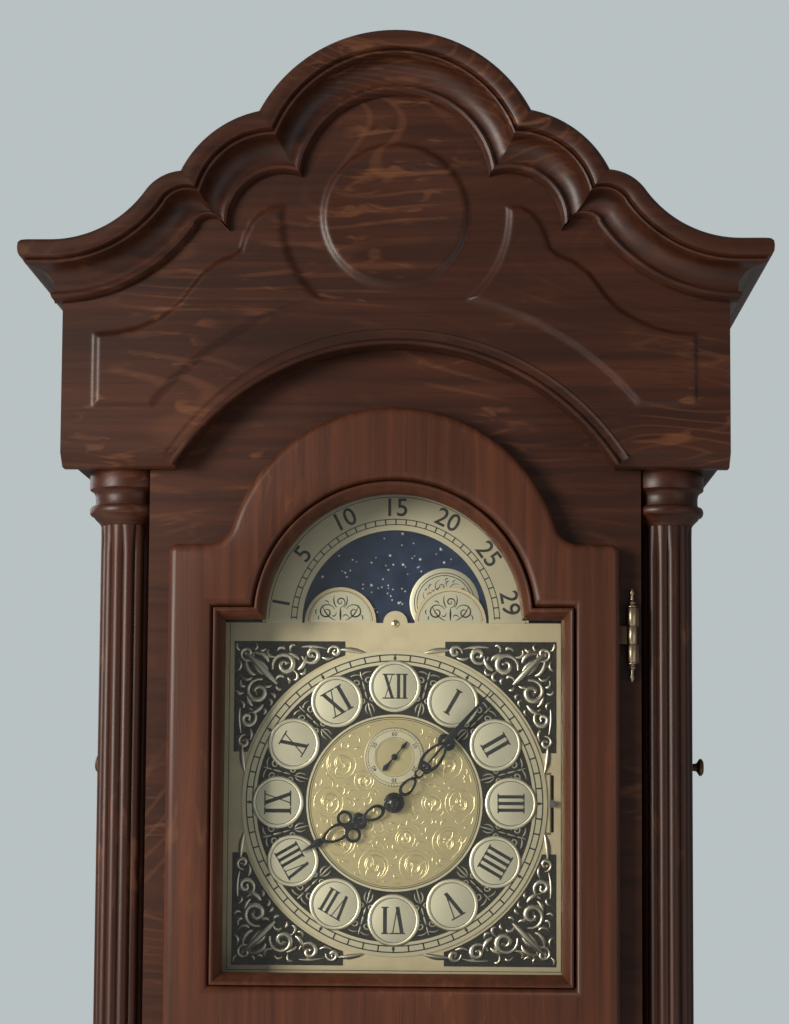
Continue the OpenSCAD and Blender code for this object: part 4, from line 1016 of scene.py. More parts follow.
@dataclass
class HoodDoor(SubAssembly):
    """Overlay door with a bullnose edge, its glass bead and its finial hinges."""

    half: float = 171.0
    arch_r: float = 128.5
    arch_down: float = 23.5
    fillet: float = 20.0
    stile: float = 42.0
    arch_less: float = 32.0
    shoulder_up: float = 11.0
    bead: float = 8.0
    hinge_h: float = 42.0
    hinge_apart: float = 334.0
    knuckle_r: float = 4.0
    leaf_back: float = 12.0

    def edge(self, draw_in: float = 0.0) -> list[Point]:
        """The door's outline."""
        low = AT.low("hood_door_frame").z + draw_in
        shoulder = DIAL_Z + 196 - draw_in
        centre_z, r = shoulder - self.arch_down, self.arch_r - draw_in
        fillet_z = shoulder + self.fillet
        fillet_x = math.sqrt((r + self.fillet) ** 2 - (fillet_z - centre_z) ** 2)
        lean = angle_of((0, centre_z), (fillet_x, fillet_z))
        half = arc(0, centre_z, r, 90, lean, 36) + arc(fillet_x, fillet_z, self.fillet, lean + 180, 270,
            10)[1:]
        corner = arc(self.half - draw_in - 7, shoulder - 7, 7, 90, 0, 8)
        return mirrored(half + corner + [(self.half - draw_in, low)])

    def opening(self, grow: float = 0.0) -> list[Point]:
        """The glass opening's outline: square shoulders and a round head."""
        half = self.half - self.stile + grow
        shoulder = DIAL_Z + half + self.shoulder_up
        centre_z, r = ARCH_Z - 2, self.half - self.stile - self.arch_less + grow * 1.2
        spring = math.degrees(math.asin(min(1.0, max(0.0, (shoulder - centre_z) / r))))
        head = arc(0, centre_z, r, 90, spring, 30)
        return mirrored(head + [(half, shoulder), (half, DIAL_Z - half)])

    def build(self) -> None:
        """Builds the door."""
        body = "hood_door"
        thick = AT.high("hood_door_frame").y - DOOR_Y
        frame_plate = plate("hood_door_frame_board", [self.edge(), self.opening(self.bead)[::-1]], DOOR_Y,
            thick, 6.5, 5)
        frame_plate.data.materials.append(FINISH["oak_door"])
        profile = [(0, 1.2), (1.2, 2.0), (2.6, 1.2), (3.4, -0.4), (4.6, -1.6), (8.6, -7.4), (8.6, -9.4),
            (-1.5, -9.4)]
        path = self.opening(self.bead - 1.0)[::-1]
        bead = sweep("bead", path, [(p[0], p[1] - 1.2) for p in profile], upright_at(DOOR_Y))
        bead.data.materials.append(FINISH["oak_door"])
        self.put(joined("hood_door_overlay_frame", [frame_plate, bead]), "", "oak", ["hood_door_frame"],
            body)
        glass = plate("hood_door_pane", [self.opening(5.0)], DOOR_Y + thick - 10, 3.0, 0.2, 1)
        self.put(glass, "hood_glass", "glass", ["hood_door_glass"], body)
        self.hinges()

    def hinges(self) -> None:
        """Finial hinges: outer knuckles on dark leaves, middle knuckles and finials on the hood door."""
        r, half, gap = self.knuckle_r, self.hinge_h / 2, 0.4
        door, fixed = [], []
        hood_x, hood_y = AT.high("hood_door_hinges").x - r, AT.low("hood_door_hinges").y + self.leaf_back
        reach = (AT.high("hood_door_hinges").z - AT.low("hood_door_hinges").z - self.hinge_apart) / 2
        hood_z = AT.low("hood_door_hinges").z + reach
        places = [(hood_x, hood_y, hood_z), (hood_x, hood_y, hood_z + self.hinge_apart)]
        trunk_low, trunk_high = AT.low("trunk_door_fittings"), AT.high("trunk_door_fittings")
        places += [(trunk_high.x - r, trunk_low.y + r, z) for z in (trunk_low.z + reach,
            trunk_high.z - reach)]
        tip = reach - half - gap
        finial = [(0, 0), (r, 0), (r, 0.6), (r * 0.55, 1.1), (r * 0.5, 1.8), (r * 0.72, 2.5),
            (r * 0.8, 3.3), (r * 0.66, 4.2), (r * 0.38, 5.0), (r * 0.3, tip * 0.62), (r * 0.46, tip * 0.74),
            (r * 0.42, tip * 0.86), (r * 0.16, tip), (0, tip)]
        for number, (x, y, z) in enumerate(places):
            for low in (-half, half / 3):
                barrel = lathe("barrel", [(0, low), (r - 0.4, low), (r, low + 0.5),
                    (r, low + half * 2 / 3 - 0.5), (r - 0.4, low + half * 2 / 3), (0, low + half * 2 / 3)],
                    (x, y, z), "z", 32)
                barrel.data.materials.append(FINISH["brass_aged"])
                leaf = plate("leaf", [[(x + 0.5, z + low), (x + 5.5, z + low),
                    (x + 5.5, z + low + half * 2 / 3), (x + 0.5, z + low + half * 2 / 3)]], y + r - 1.0,
                    1.5, 0.2, 1)
                leaf.data.materials.append(FINISH["bronze_dark"])
                fixed += [barrel, leaf]
            if number > 1:
                continue
            middle = half / 3 - gap / 2
            knuckle = lathe("knuckle", [(0, -middle), (r - 0.4, -middle), (r, 0.5 - middle),
                (r, middle - 0.5), (r - 0.4, middle), (0, middle)], (x, y, z), "z", 32)
            ends = [lathe("finial", [(a, s * (half + gap + b)) for a, b in finial], (x, y, z), "z", 32)
                for s in (-1, 1)]
            for part in (knuckle, *ends):
                part.data.materials.append(FINISH["brass_aged"])
            arm = plate("arm", [[(self.half - 0.5, z - middle), (x - 1.0, z - middle),
                (x - 1.0, z + middle), (self.half - 0.5, z + middle)]], y - 1.0, 2.0, 0.2, 1)
            arm.data.materials.append(FINISH["bronze_dark"])
            door += [knuckle, *ends, arm]
        self.put(joined("hinge_knuckles_and_leaves", fixed), "", "brass", ["hinge_leaves"])
        self.put(joined("hood_door_finial_hinges", door), "", "brass", ["hood_door_hinges"], "hood_door")


@dataclass
class HoodCase(SubAssembly):
    """Columns, boards and mouldings of the hood."""

    reeds: int = 12
    reed_deep: float = 2.3
    base_out: float = 10.0
    trunk_half: float = 200.5

    def build(self) -> None:
        """Builds the hood's fixed pieces."""
        self.columns()
        self.turnings()
        self.base_moulding()
        self.dress("oak_up", "hood_sides")
        self.dress("oak_pediment", "hood_front_board")
        self.dress("oak_inside", "dial_mask")
        self.dress("oak_up", "side_panel_left", "side_panel_right")
        self.dress("bronze_dark", "side_knob_left", "side_knob_right")

    def columns(self) -> None:
        """The two reeded shafts."""
        low, high = AT.low("column_shafts"), AT.high("column_shafts")
        r = (high.y - low.y) / 2
        x, y = high.x - r, (low.y + high.y) / 2
        parts = []
        around = self.reeds * 10
        for side in (-1, 1):
            rows = []
            for k in range(41):
                t = k / 40
                rise = low.z + (high.z - low.z) * t
                fade = min(1.0, min(t, 1 - t) * (high.z - low.z) / 9.0) ** 0.5
                row = []
                for i in range(around):
                    a = 2 * math.pi * i / around
                    rr = r - 0.15 - fade * self.reed_deep * (1 - abs(math.sin(a * self.reeds / 2)) ** 0.7)
                    row.append((side * x + rr * math.cos(a), y + rr * math.sin(a), rise))
                rows.append(row)
            verts, faces = grid(rows, wrap_columns=True)
            faces += [tuple(range(around)), tuple(range(len(verts) - around, len(verts)))]
            part = solid("shaft", verts, faces, 50)
            part.data.materials.append(FINISH["oak_up"])
            parts.append(part)
        self.put(joined("column_reeded_shafts", parts), "", "oak", ["column_shafts"])

    def turnings(self) -> None:
        """Turned capitals and, upside down, the bases."""
        low, high = AT.low("column_turnings"), AT.high("column_turnings")
        r = (high.y - low.y) / 2
        x, y = high.x - r, (low.y + high.y) / 2
        tall = AT.low("column_shafts").z - low.z
        s = (AT.high("column_shafts").y - AT.low("column_shafts").y) / 2
        torus = [(r - 2.2 + 2.0 * math.sin(math.radians(a)), 11.5 - 3.6 * math.cos(math.radians(a)))
            for a in range(20, 161, 20)]
        profile = [(s - 1.5, 0), (s, 0.2), (s + 0.6, 1.5), (s + 1.8, 3.0), (s + 4.2, 5.2),
            (r - 3.4, 7.2)] + torus
        profile += [(r - 4.0, 15.6), (r - 4.6, 18), (r - 4.6, 22), (r - 4.2, 24.5), (r - 3, 26.6),
            (r - 1.2, 27.6), (r - 0.2, 28.4), (r, 29.4), (r, tall - 2.6), (r - 0.6, tall - 1.4),
            (r - 1.0, tall), (0, tall)]
        profile = [(0, 0), *profile]
        parts = []
        for side in (-1, 1):
            for base, sign in ((AT.high("column_shafts").z, 1), (AT.low("column_shafts").z, -1)):
                part = lathe("turning", [(a, sign * b) for a, b in profile], (side * x, y, base))
                part.data.materials.append(FINISH["oak_across"])
                parts.append(part)
        self.put(joined("column_capitals_and_bases", parts), "", "oak", ["column_turnings"])

    def base_moulding(self) -> None:
        """The hood's base with its moulded edge, over the trunk's top."""
        low, high = AT.low("hood_base_moulding"), AT.high("hood_base_moulding")
        out, tall, side = self.base_out, high.z - low.z, self.trunk_half
        rows = [(0, 0), (1.5, 0), (3.4, 1.0), (5.6, 3.2), (7.0, 6.0), (7.4, 8.2), (9.4, 8.4), (10, 9.2),
            (10, 19), (9.4, 20.2), (7.4, 20.8), (7.2, 22.4), (6.0, 25), (4.0, 27.4), (2.0, 29.2),
            (1.6, tall), (0, tall)]
        moulding = u_moulding("edge", high.x - out, low.y + out, high.y, low.z, rows)
        moulding.data.materials.append(FINISH["oak_across"])
        inner = [(-high.x + out + 0.1, high.y - 0.1), (-high.x + out + 0.1, low.y + out + 0.1),
            (high.x - out - 0.1, low.y + out + 0.1), (high.x - out - 0.1, high.y - 0.1),
            (side, high.y - 0.1), (side, AT.low("trunk_sides").y), (-side, AT.low("trunk_sides").y),
            (-side, high.y - 0.1)]
        deck = solid("deck", [(x, y, z) for z in (low.z + 0.5, high.z) for x, y in inner],
            [tuple(range(8)), tuple(range(8, 16)), *[(i, (i + 1) % 8, 8 + (i + 1) % 8, 8 + i)
            for i in range(8)]])
        deck.data.materials.append(FINISH["oak_across"])
        self.put(joined("hood_base_and_edge", [moulding, deck]), "", "oak", ["hood_base_moulding"])


def u_moulding(name: str, half: float, front: float, back: float, low: float,
        rows: Sequence[Point]) -> bpy.types.Object:
    """A moulding along the front and both sides of the case, mitred at the corners.

    Args:
        name: The piece's name.
        half: Half the width between its side faces.
        front: Depth of the face that it is planted on.
        back: Where its returns end.
        low: Height of its lower edge.
        rows: Section as (projection, height above the lower edge), closed.

    Returns:
        The moulding.
    """
    path = [(-half, back), (-half, front), (half, front), (half, back)]
    return sweep(name, path, [(-out, up) for out, up in rows], lambda a, b, up: (a, b, low + up),
        closed=False)


@dataclass
class Lower(SubAssembly):
    """Base, waist and trunk below the hood."""

    cove: Sequence[Point] = ((1.0, 0.0), (1.0, 0.13), (0.97, 0.155), (0.93, 0.165), (0.93, 0.2))
    upper_h: float = 52.0
    upper_out: float = 37.5
    door_rise: float = 46.0
    plinth_out: float = 18.0
    fielding: float = 46.0
    door_stile: float = 40.5
    bead: Sequence[Point] = ((0.10, 0.84), (0.13, 0.87), (0.145, 0.90), (0.13, 0.94), (0.09, 0.97),
        (0.03, 1.0))

    def flare(self) -> list[Point]:
        """Section of a waist moulding: share of its projection against share of its height."""
        hollow = [(0.92 - 0.80 * math.sin(a), 0.82 - 0.60 * math.cos(a))
            for a in (math.radians(d) for d in range(0, 91, 9))]
        return [(0.0, 0.0), *self.cove, *hollow, *self.bead, (0.0, 1.0)]

    def build(self) -> None:
        """Builds the mouldings and dresses the boards."""
        self.mouldings()
        self.base_panel()
        self.trunk_door()
        self.dress("oak_up", "base_boards", "base_front_frame", "trunk_sides", "trunk_front_frame")
        self.dress("oak_inside", "back_board", "seat_board")
        self.dress("brass_polished", "leveling_feet", "trunk_door_fittings", "trunk_door_key")
        self.dress("hood_glass", "trunk_door_glass")

    def mouldings(self) -> None:
        """Plinth and the two waist mouldings."""
        trunk, front = AT.high("trunk_sides").x, AT.low("trunk_front_frame").y
        low, high = AT.low("waist_mouldings"), AT.high("waist_mouldings")
        base_top = AT.high("base_boards").z
        waist = AT.high("trunk_front_frame").z - self.upper_h
        lower_h = AT.low("trunk_door_frame").z - self.door_rise - base_top
        parts = []
        lower = [(out * (high.x - trunk), up * lower_h) for out, up in self.flare()]
        parts.append(u_moulding("waist_lower", trunk, front, BACK_Y, base_top, lower))
        upper_h = high.z - waist
        upper = [(out * self.upper_out, upper_h * (1 - up)) for out, up in reversed(self.flare())]
        parts.append(u_moulding("waist_upper", trunk, front, BACK_Y, waist, upper))
        for part in parts:
            part.data.materials.append(FINISH["oak_across"])
        self.put(joined("waist_coved_mouldings", parts), "", "oak", ["waist_mouldings"])
        low, high = AT.low("plinth_moulding"), AT.high("plinth_moulding")
        out, tall = self.plinth_out, high.z - low.z
        round_top = [(out - 1 - 5.5 * (1 - math.cos(a)), tall - 17 + 7 * math.sin(a))
            for a in (math.radians(d) for d in range(0, 91, 15))]
        rows = [(0, 0), (out, 0), (out, tall - 22), (out - 0.6, tall - 20.6), (out - 3.2, tall - 19.6),
            (out - 3.2, tall - 18.2), *round_top, (out - 8, tall - 9), (out - 11, tall - 7.2),
            (out - 13.5, tall - 4.2), (out - 15.4, tall - 1.0), (out - 16, tall), (0, tall)]
        plinth = u_moulding("plinth_and_cap", high.x - out, low.y + out, BACK_Y, low.z, rows)
        self.put(plinth, "oak_across", "oak", ["plinth_moulding"])

    def base_panel(self) -> None:
        """Raised and fielded panel in the base's frame."""
        low, high = AT.low("base_front_panel"), AT.high("base_front_panel")
        half = high.x
        path = [(-half, low.z), (half, low.z), (half, high.z), (-half, high.z)]
        field = self.fielding
        profile = [(0.0, -7.0), (1.0, -7.0), (field * 0.7, -1.6), (field * 0.84, -1.0), (field * 0.86, 0.0),
            (field, 0.0), (field, low.y - high.y + 1.0), (0.0, low.y - high.y + 1.0)]
        ramp = sweep("ramp", path, profile, upright_at(low.y))
        centre = plate("field", [[(-half + field, low.z + field), (half - field, low.z + field),
            (half - field, high.z - field), (-half + field, high.z - field)]], low.y, high.y - low.y - 1.0)
        for part in (ramp, centre):
            part.data.materials.append(FINISH["oak_pediment"])
        self.put(joined("base_raised_panel", [ramp, centre]), "", "oak", ["base_front_panel"])

    def trunk_door(self) -> None:
        """Glazed trunk door with an arched head and a moulded opening."""
        low, high = AT.low("trunk_door_frame"), AT.high("trunk_door_frame")

        def outline(half: float, bottom: float) -> list[Point]:
            """The door's shape at a half width: straight sides under a flat arch."""
            shoulder = high.z - high.x * 0.5 - 1.0
            r, centre = half * 1.25, shoulder - half * 0.75
            return mirrored(arc(0, centre, r, 90, math.degrees(math.acos(0.8)), 30) + [(half, bottom)])

        outer = outline(high.x, low.z)
        inner = outline(high.x - self.door_stile, low.z + self.door_stile)
        board = plate("board", [outer, inner[::-1]], low.y, high.y - low.y, 2.0, 3)
        profile = [(0, 1.6), (1.4, 2.4), (3.0, 1.8), (4.0, 0.2), (5.6, -1.6), (8.0, -3.0), (8.4, -6.4),
            (-1.5, -6.4)]
        bead = sweep("bead", inner[::-1], [(a, b - 1.0) for a, b in profile], upright_at(low.y))
        for part in (board, bead):
            part.data.materials.append(FINISH["oak_door"])
        self.put(joined("trunk_door_arched_frame", [board, bead]), "", "oak", ["trunk_door_frame"],
            "trunk_door")


# ---- Lettering ----
def stroke(x0: float, z0: float, x1: float, z1: float, wide: float) -> list[Point]:
    """A straight stroke of even width with level ends."""
    return [(x0 - wide / 2, z0), (x0 + wide / 2, z0), (x1 + wide / 2, z1), (x1 - wide / 2, z1)]


def roman(number: int, tall: float) -> list[list[Point]]:
    """Strokes of a Roman hour numeral about its middle, with four written as four ones.

    Args:
        number: 1 to 12.
        tall: Height of the numeral.

    Returns:
        Outlines of the strokes, which may overlap.
    """
    text = {4: "IIII", 9: "IX", 10: "X", 11: "XI", 12: "XII"}.get(number)
    text = text or ("V" * (number >= 5) + "I" * (number % 5))
    thick, thin, foot = tall * 0.15, tall * 0.045, tall * 0.05
    widths = {"I": 0.30, "V": 0.66, "X": 0.66}
    x = -sum(widths[c] for c in text) * tall / 2
    low, high = -tall / 2, tall / 2
    strokes = []
    for letter in text:
        wide = widths[letter] * tall
        left, right, mid = x + wide * 0.22, x + wide * 0.78, x + wide / 2
        if letter == "I":
            strokes.append(stroke(mid, low, mid, high, thick))
        elif letter == "V":
            strokes += [stroke(left, high, mid, low, thick), stroke(right, high, mid, low, thin)]
        else:
            strokes += [stroke(left, high, right, low, thick), stroke(right, high, left, low, thin)]
        for z in (low, high - foot):
            if letter != "V" or z > 0:
                strokes.append([(x + wide * 0.04, z), (x + wide * 0.96, z), (x + wide * 0.96, z + foot),
                    (x + wide * 0.04, z + foot)])
        x += wide
    return strokes


def engraved(name: str, shapes: Sequence[Sequence[Point]], y: float,
        proud: float = 0.08) -> bpy.types.Object:
    """Lays filled outlines a hair above a face, each as its own thin sheet.

    Args:
        name: The piece's name.
        shapes: Convex outlines in (x, z).
        y: Depth of the face.
        proud: How far the filling stands out.

    Returns:
        All of them as one mesh.
    """
    verts, faces = [], []
    for k, shape in enumerate(shapes):
        lift = proud + 0.002 * (k % 7)
        area = sum(a[0] * b[1] - b[0] * a[1] for a, b in zip(shape, [*shape[1:], shape[0]]))
        points = list(shape) if area > 0 else list(reversed(shape))
        base, count = len(verts), len(points)
        verts += [(x, y - lift, z) for x, z in points] + [(x, y + 0.02, z) for x, z in points]
        faces.append(tuple(base + i for i in range(count)))
        faces.append(tuple(base + count + i for i in reversed(range(count))))
        faces += [(base + i, base + count + i, base + count + (i + 1) % count, base + (i + 1) % count)
            for i in range(count)]
    return solid(name, verts, faces, 30, flip_check=False)


def hoop(name: str, radii: Sequence[tuple[float, float]], centre: Point, y: float, start: float = 0.0,
        end: float = 360.0, proud: float = 0.08) -> bpy.types.Object:
    """Thin engraved circles or arcs, each from one radius to another."""
    parts = []
    for inner, outer in radii:
        closed = end - start >= 360
        path = ring(*centre, inner, 180) if closed else arc(*centre, inner, start, end, 120)
        wide = outer - inner
        parts.append(sweep("line", path, [(0, proud), (-wide, proud), (-wide, -0.02), (0, -0.02)],
            upright_at(y), closed))
        parts[-1].data.materials.append(FINISH["engraved_black"])
    return joined(name, parts)


def figure(name: str, text: str, tall: float, centre: Point, y: float, turn: float,
        proud: float = 0.1) -> bpy.types.Object:
    """A number in plain figures.

    Args:
        name: The piece's name.
        text: The figures.
        tall: Their height.
        centre: Where their middle goes.
        y: Depth of the face.
        turn: Clockwise turn in degrees.
        proud: How far they stand out.

    Returns:
        The number as a mesh.
    """
    data = bpy.data.curves.new(name, "FONT")
    data.body, data.size = text, tall * 1.42 * MM
    data.align_x, data.align_y = "CENTER", "CENTER"
    data.extrude, data.resolution_u = proud * MM, 4
    data.offset = tall * 0.012 * MM
    place = (Matrix.Translation((centre[0] * MM, y * MM, centre[1] * MM))
        @ Matrix.Rotation(math.pi / 2, 4, "X") @ Matrix.Rotation(math.radians(-turn), 4, "Z"))
    return made_mesh(name, data, place)


def spiral(cx: float, cz: float, r: float, start: float, turns: float, thick: float,
        steps: int = 22) -> list:
    """A scroll that winds in to a bud.

    Args:
        cx: Centre's x.
        cz: Centre's z.
        r: Outer radius.
        start: Angle of its outer end, in degrees.
        turns: How far it winds; negative winds the other way.
        thick: Thickness share at its widest.
        steps: Number of segments.

    Returns:
        Points with a thickness share, from the outer end inwards.
    """
    points = []
    for i in range(steps + 1):
        t = i / steps
        a = math.radians(start + 360 * turns * t)
        rr = r * (1 - 0.86 * t ** 0.8)
        share = thick * (0.45 + 0.75 * math.sin(math.pi * min(1.0, t * 1.15)) + (0.5 if t > 0.93 else 0.0))
        points.append((cx + rr * math.cos(a), cz + rr * math.sin(a), share))
    return points


def leaf(x: float, z: float, angle: float, length: float, fat: float, bend: float = 0.0) -> list:
    """A pointed leaf or petal drawn as one swelling wire."""
    points = []
    for i in range(9):
        t = i / 8
        a = math.radians(angle + bend * t)
        points.append((x + length * t * math.cos(a), z + length * t * math.sin(a),
            fat * (math.sin(math.pi * min(0.97, t * 0.9 + 0.08)) ** 0.8)))
    return points


def filled(wires: list, inside: Callable[[float, float], bool], box: Sequence[float], gap: float,
        length: float, fat: float, tries: int, seed: int = 3) -> list:
    """Adds small curled leaves wherever scroll work leaves a gap.

    Args:
        wires: The scroll work so far.
        inside: Whether a place may be covered.
        box: Lowest and highest x and z to try.
        gap: Least distance from anything already there.
        length: Longest leaf.
        fat: Thickness share of a leaf.
        tries: How many places are tried.
        seed: Seed of the places.

    Returns:
        The wires with the leaves added.
    """
    rng = random.Random(seed)
    cells: dict[tuple[int, int], list[Point]] = {}

    def keep(points: list) -> None:
        """Notes where a wire runs."""
        for x, z, _ in points:
            cells.setdefault((int(x // gap), int(z // gap)), []).append((x, z))

    def free(x: float, z: float) -> bool:
        """Whether nothing runs too near a place."""
        i, j = int(x // gap), int(z // gap)
        near = (p for a in (i - 1, i, i + 1) for b in (j - 1, j, j + 1) for p in cells.get((a, b), ()))
        return inside(x, z) and all(math.hypot(x - p[0], z - p[1]) > gap for p in near)

    for wire in wires:
        keep(wire)
    result = list(wires)
    for _ in range(tries):
        x, z = rng.uniform(box[0], box[1]), rng.uniform(box[2], box[3])
        if not free(x, z):
            continue
        sprig = leaf(x, z, rng.uniform(0, 360), rng.uniform(0.5, 1.0) * length, fat,
            rng.choice((-110, -70, 70, 110)))
        if all(inside(a, b) for a, b, _ in sprig) and all(free(a, b) for a, b, _ in sprig[3::3]):
            result.append(sprig)
            keep(sprig)
    return result


@dataclass
class Dial(SubAssembly):
    """The moon dial: plate, chapter ring with raised cartouches, engraved centre, spandrels and moon work."""

    ring_out: float = 118.5
    ring_in: float = 67.0
    track: tuple[float, float] = (109.8, 114.6)
    cartouche_at: float = 90.5
    cartouche_r: float = 20.5
    moon_r: float = 73.0
    hump_x: float = 43.0
    hump_r: float = 28.0
    seconds_up: float = 35.4
    days: Sequence[str] = ("1", "5", "10", "15", "20", "25", "29")
    seed: int = 7
    trim: float = 0.8

    def build(self) -> None:
        """Builds the dial from the plate forwards."""
        self.plate_work()
        self.chapter()
        self.cartouches()
        self.centre()
        self.seconds_dial()
        self.spandrels()
        self.moon_arch()
        self.moon()
        self.lever()

    def plate_work(self) -> None:
        """The plate itself and its engraved border line."""
        self.dress("brass_plate", "dial_plate")
        border = sweep("dial_edge_line", [(-DIAL_HALF + 11, DIAL_Z - DIAL_HALF + 11),
            (-DIAL_HALF + 11, ARCH_Z), *arc(0, ARCH_Z, 99.5, 180, 0, 90), (DIAL_HALF - 11, ARCH_Z),
            (DIAL_HALF - 11, DIAL_Z - DIAL_HALF + 11)], [(0, 0.1), (0.5, 0.1), (0.5, -0.02), (0, -0.02)],
            upright_at(DIAL_Y))
        self.put(border, "engraved_black", "black")

    def chapter(self) -> None:
        """Ring with its minute track, dark ground and filigree."""
        y = AT.low("chapter_ring").y
        centre = (0.0, DIAL_Z)
        self.dress("brass_ring", "chapter_ring")
        ground = sweep("chapter_antique_ground", ring(0, DIAL_Z, self.ring_in + 1.5, 160),
            [(0, 0.05), (-(107.5 - self.ring_in - 1.5), 0.05), (-(107.5 - self.ring_in - 1.5), -0.02),
            (0, -0.02)], upright_at(y))
        self.put(ground, "antiqued", "dial_brass")
        tracks = hoop("minute_track_circles", [(t, t + 0.95) for t in self.track], centre, y)
        self.put(tracks, "engraved_black", "black")
        tick = self.tick(0.0, self.track[1] - self.track[0] + 0.5, 1.15)
        self.put(round_the_dial("minute_track_strokes", tick, 60, self.track[0], centre, y,
            "engraved_black"), "", "black")
        dot = self.tick(-1.3, 1.3, 2.6)
        self.put(round_the_dial("minute_track_dots", dot, 12, (self.track[0] + self.track[1]) / 2 + 0.2,
            centre, y - 0.03, "engraved_black"), "", "black")
        lines = []
        for side in (-1, 1):
            lines += [[(a, side * b, c) for a, b, c in spiral(8.5, 4.6, 4.3, 200, -1.35, 0.9)],
                [(a, side * b, c) for a, b, c in spiral(-5.5, 3.8, 3.4, 20, 1.3, 0.75)],
                [(a, side * b, c) for a, b, c in spiral(0.5, 8.6, 2.4, 270, 1.2, 0.6)],
                [(a, side * b, c) for a, b, c in leaf(14, 1.0, 55, 7.5, 1.1, 30)],
                [(a, side * b, c) for a, b, c in leaf(-9, 1.0, 130, 8.0, 1.0, 40)]]
        lines += [leaf(10, 0, 0, 7, 1.2), leaf(-8, 0, 180, 12, 1.2), leaf(2, 0, 0, 7, 1.3),
            leaf(1, 0, 180, 6, 1.1)]
        item = tube("filigree", lines, 0.0, 0.55, 0.6, 2)
        item.data.transform(Matrix.Rotation(-math.pi / 2, 4, "X"))
        scrolls = round_the_dial("chapter_filigree", item, 12, 88.5, centre, y - 0.05, "brass_cast", 15)
        self.put(scrolls, "", "dial_brass")

    def tick(self, inner: float, outer: float, wide: float, proud: float = 0.08) -> bpy.types.Object:
        """A stroke for repeating, drawn outwards along +X with its face to +Z."""
        half = wide / 2
        count = 8 if abs(outer - inner - wide) < 0.1 else 4
        mid = (inner + outer) / 2
        outline = ring(mid, 0, (outer - inner) / 2, count) if count == 8 else [(inner, -half),
            (outer, -half), (outer, half), (inner, half)]
        verts = [(x, y, proud) for x, y in outline] + [(x, y, -0.02) for x, y in outline]
        n = len(outline)
        faces = [tuple(range(n)), tuple(reversed(range(n, 2 * n)))]
        faces += [(i, n + i, n + (i + 1) % n, (i + 1) % n) for i in range(n)]
        return solid("stroke", verts, faces)

    def cartouches(self) -> None:
        """Twelve domed discs with rims and their Roman hours."""
        y = AT.high("hour_cartouches").y
        profile = [(0, 1.15), (self.cartouche_r - 4, 1.15), (self.cartouche_r - 3.2, 1.05),
            (self.cartouche_r - 2.6, 1.3), (self.cartouche_r - 1.8, 1.42), (self.cartouche_r - 0.9, 1.25),
            (self.cartouche_r - 0.4, 0.8), (self.cartouche_r - 0.2, 0), (0, 0)]
        item = lathe("cartouche", profile, (0, 0, 0), "z", 48)
        discs = round_the_dial("hour_cartouche_discs", item, 12, self.cartouche_at, (0.0, DIAL_Z), y,
            "cartouche_silver", 0)
        self.put(discs, "", "dial_brass", ["hour_cartouches"])
        shapes = []
        for hour in range(1, 13):
            x = self.cartouche_at * math.sin(math.radians(30 * hour))
            z = self.cartouche_at * math.cos(math.radians(30 * hour))
            tall = 21.0 if hour not in (7, 8, 12) else 19.5
            for part in roman(hour, tall):
                part = [(a * (0.82 if hour in (7, 8, 12, 3, 4) else 0.95), b) for a, b in part]
                shapes.append(shifted(part, x, DIAL_Z + z, 30 * hour))
        self.put(engraved("hour_numerals", shapes, y - 1.15), "engraved_black", "black")
        rims = [hoop("rim", [(self.cartouche_r - 3.6, self.cartouche_r - 3.15)],
            clockwise(self.cartouche_at, 30 * h, DIAL_Z), y - 1.1) for h in range(12)]
        self.put(joined("hour_cartouche_lines", rims), "", "black")

    def centre(self) -> None:
        """Engraved centre with its chased scroll medallions."""
        y = DIAL_Y - self.trim
        inner = sweep("centre_field", ring(0, DIAL_Z, 7.0, 128),
            [(0, 0), (-(self.ring_in - 7.6), 0), (-(self.ring_in - 7.6), -0.8), (0, -0.8)], upright_at(y))
        ages = plate("moon_age_field", [self.age_outline()], y, 0.8)
        for part in (inner, ages):
            part.data.materials.append(FINISH["brass_centre" if part is inner else "brass_ring"])
        self.put(joined("dial_centre_and_age_ring", [inner, ages]), "", "dial_brass", ["dial_trim"])
        lines = []
        count = 10
        for k in range(count):
            turn = 360.0 / count * (k + 0.5)
            for r, size, hand in ((51.0, 11.5, 1), (29.0, 7.6, -1)):
                if r < 40 and k % 2:
                    continue
                x, z = clockwise(r, turn, DIAL_Z)
                if math.hypot(x, z - DIAL_Z - self.seconds_up) < 23 + size * 0.75:
                    continue
                lines.append(spiral(x, z, size, 90 - turn, hand * 1.9, 0.8))
                lines.append(spiral(x, z, size * 0.62, 270 - turn, hand * 1.3, 0.7))
                lines.append([(x + size * math.cos(a), z + size * math.sin(a), 0.55)
                    for a in (math.radians(d) for d in range(0, 361, 20))])
                lines += [leaf(x, z, a - turn, size * 0.86, 0.85, 40 * hand) for a in (30, 150, 270)]
        for k in range(24):
            a = 15.0 * k
            x, z = math.sin(math.radians(a)), math.cos(math.radians(a))
            if math.hypot(63.0 * x, 63.0 * z - self.seconds_up) > 25:
                lines.append(leaf(61.5 * x, DIAL_Z + 61.5 * z, 90 - a + 58, 5.6, 0.8, 30))
        def inside(x: float, z: float) -> bool:
            """Whether a place lies on the engraved field."""
            return 13 < math.hypot(x, z - DIAL_Z) < self.ring_in - 4 and math.hypot(x,
                z - DIAL_Z - self.seconds_up) > 25

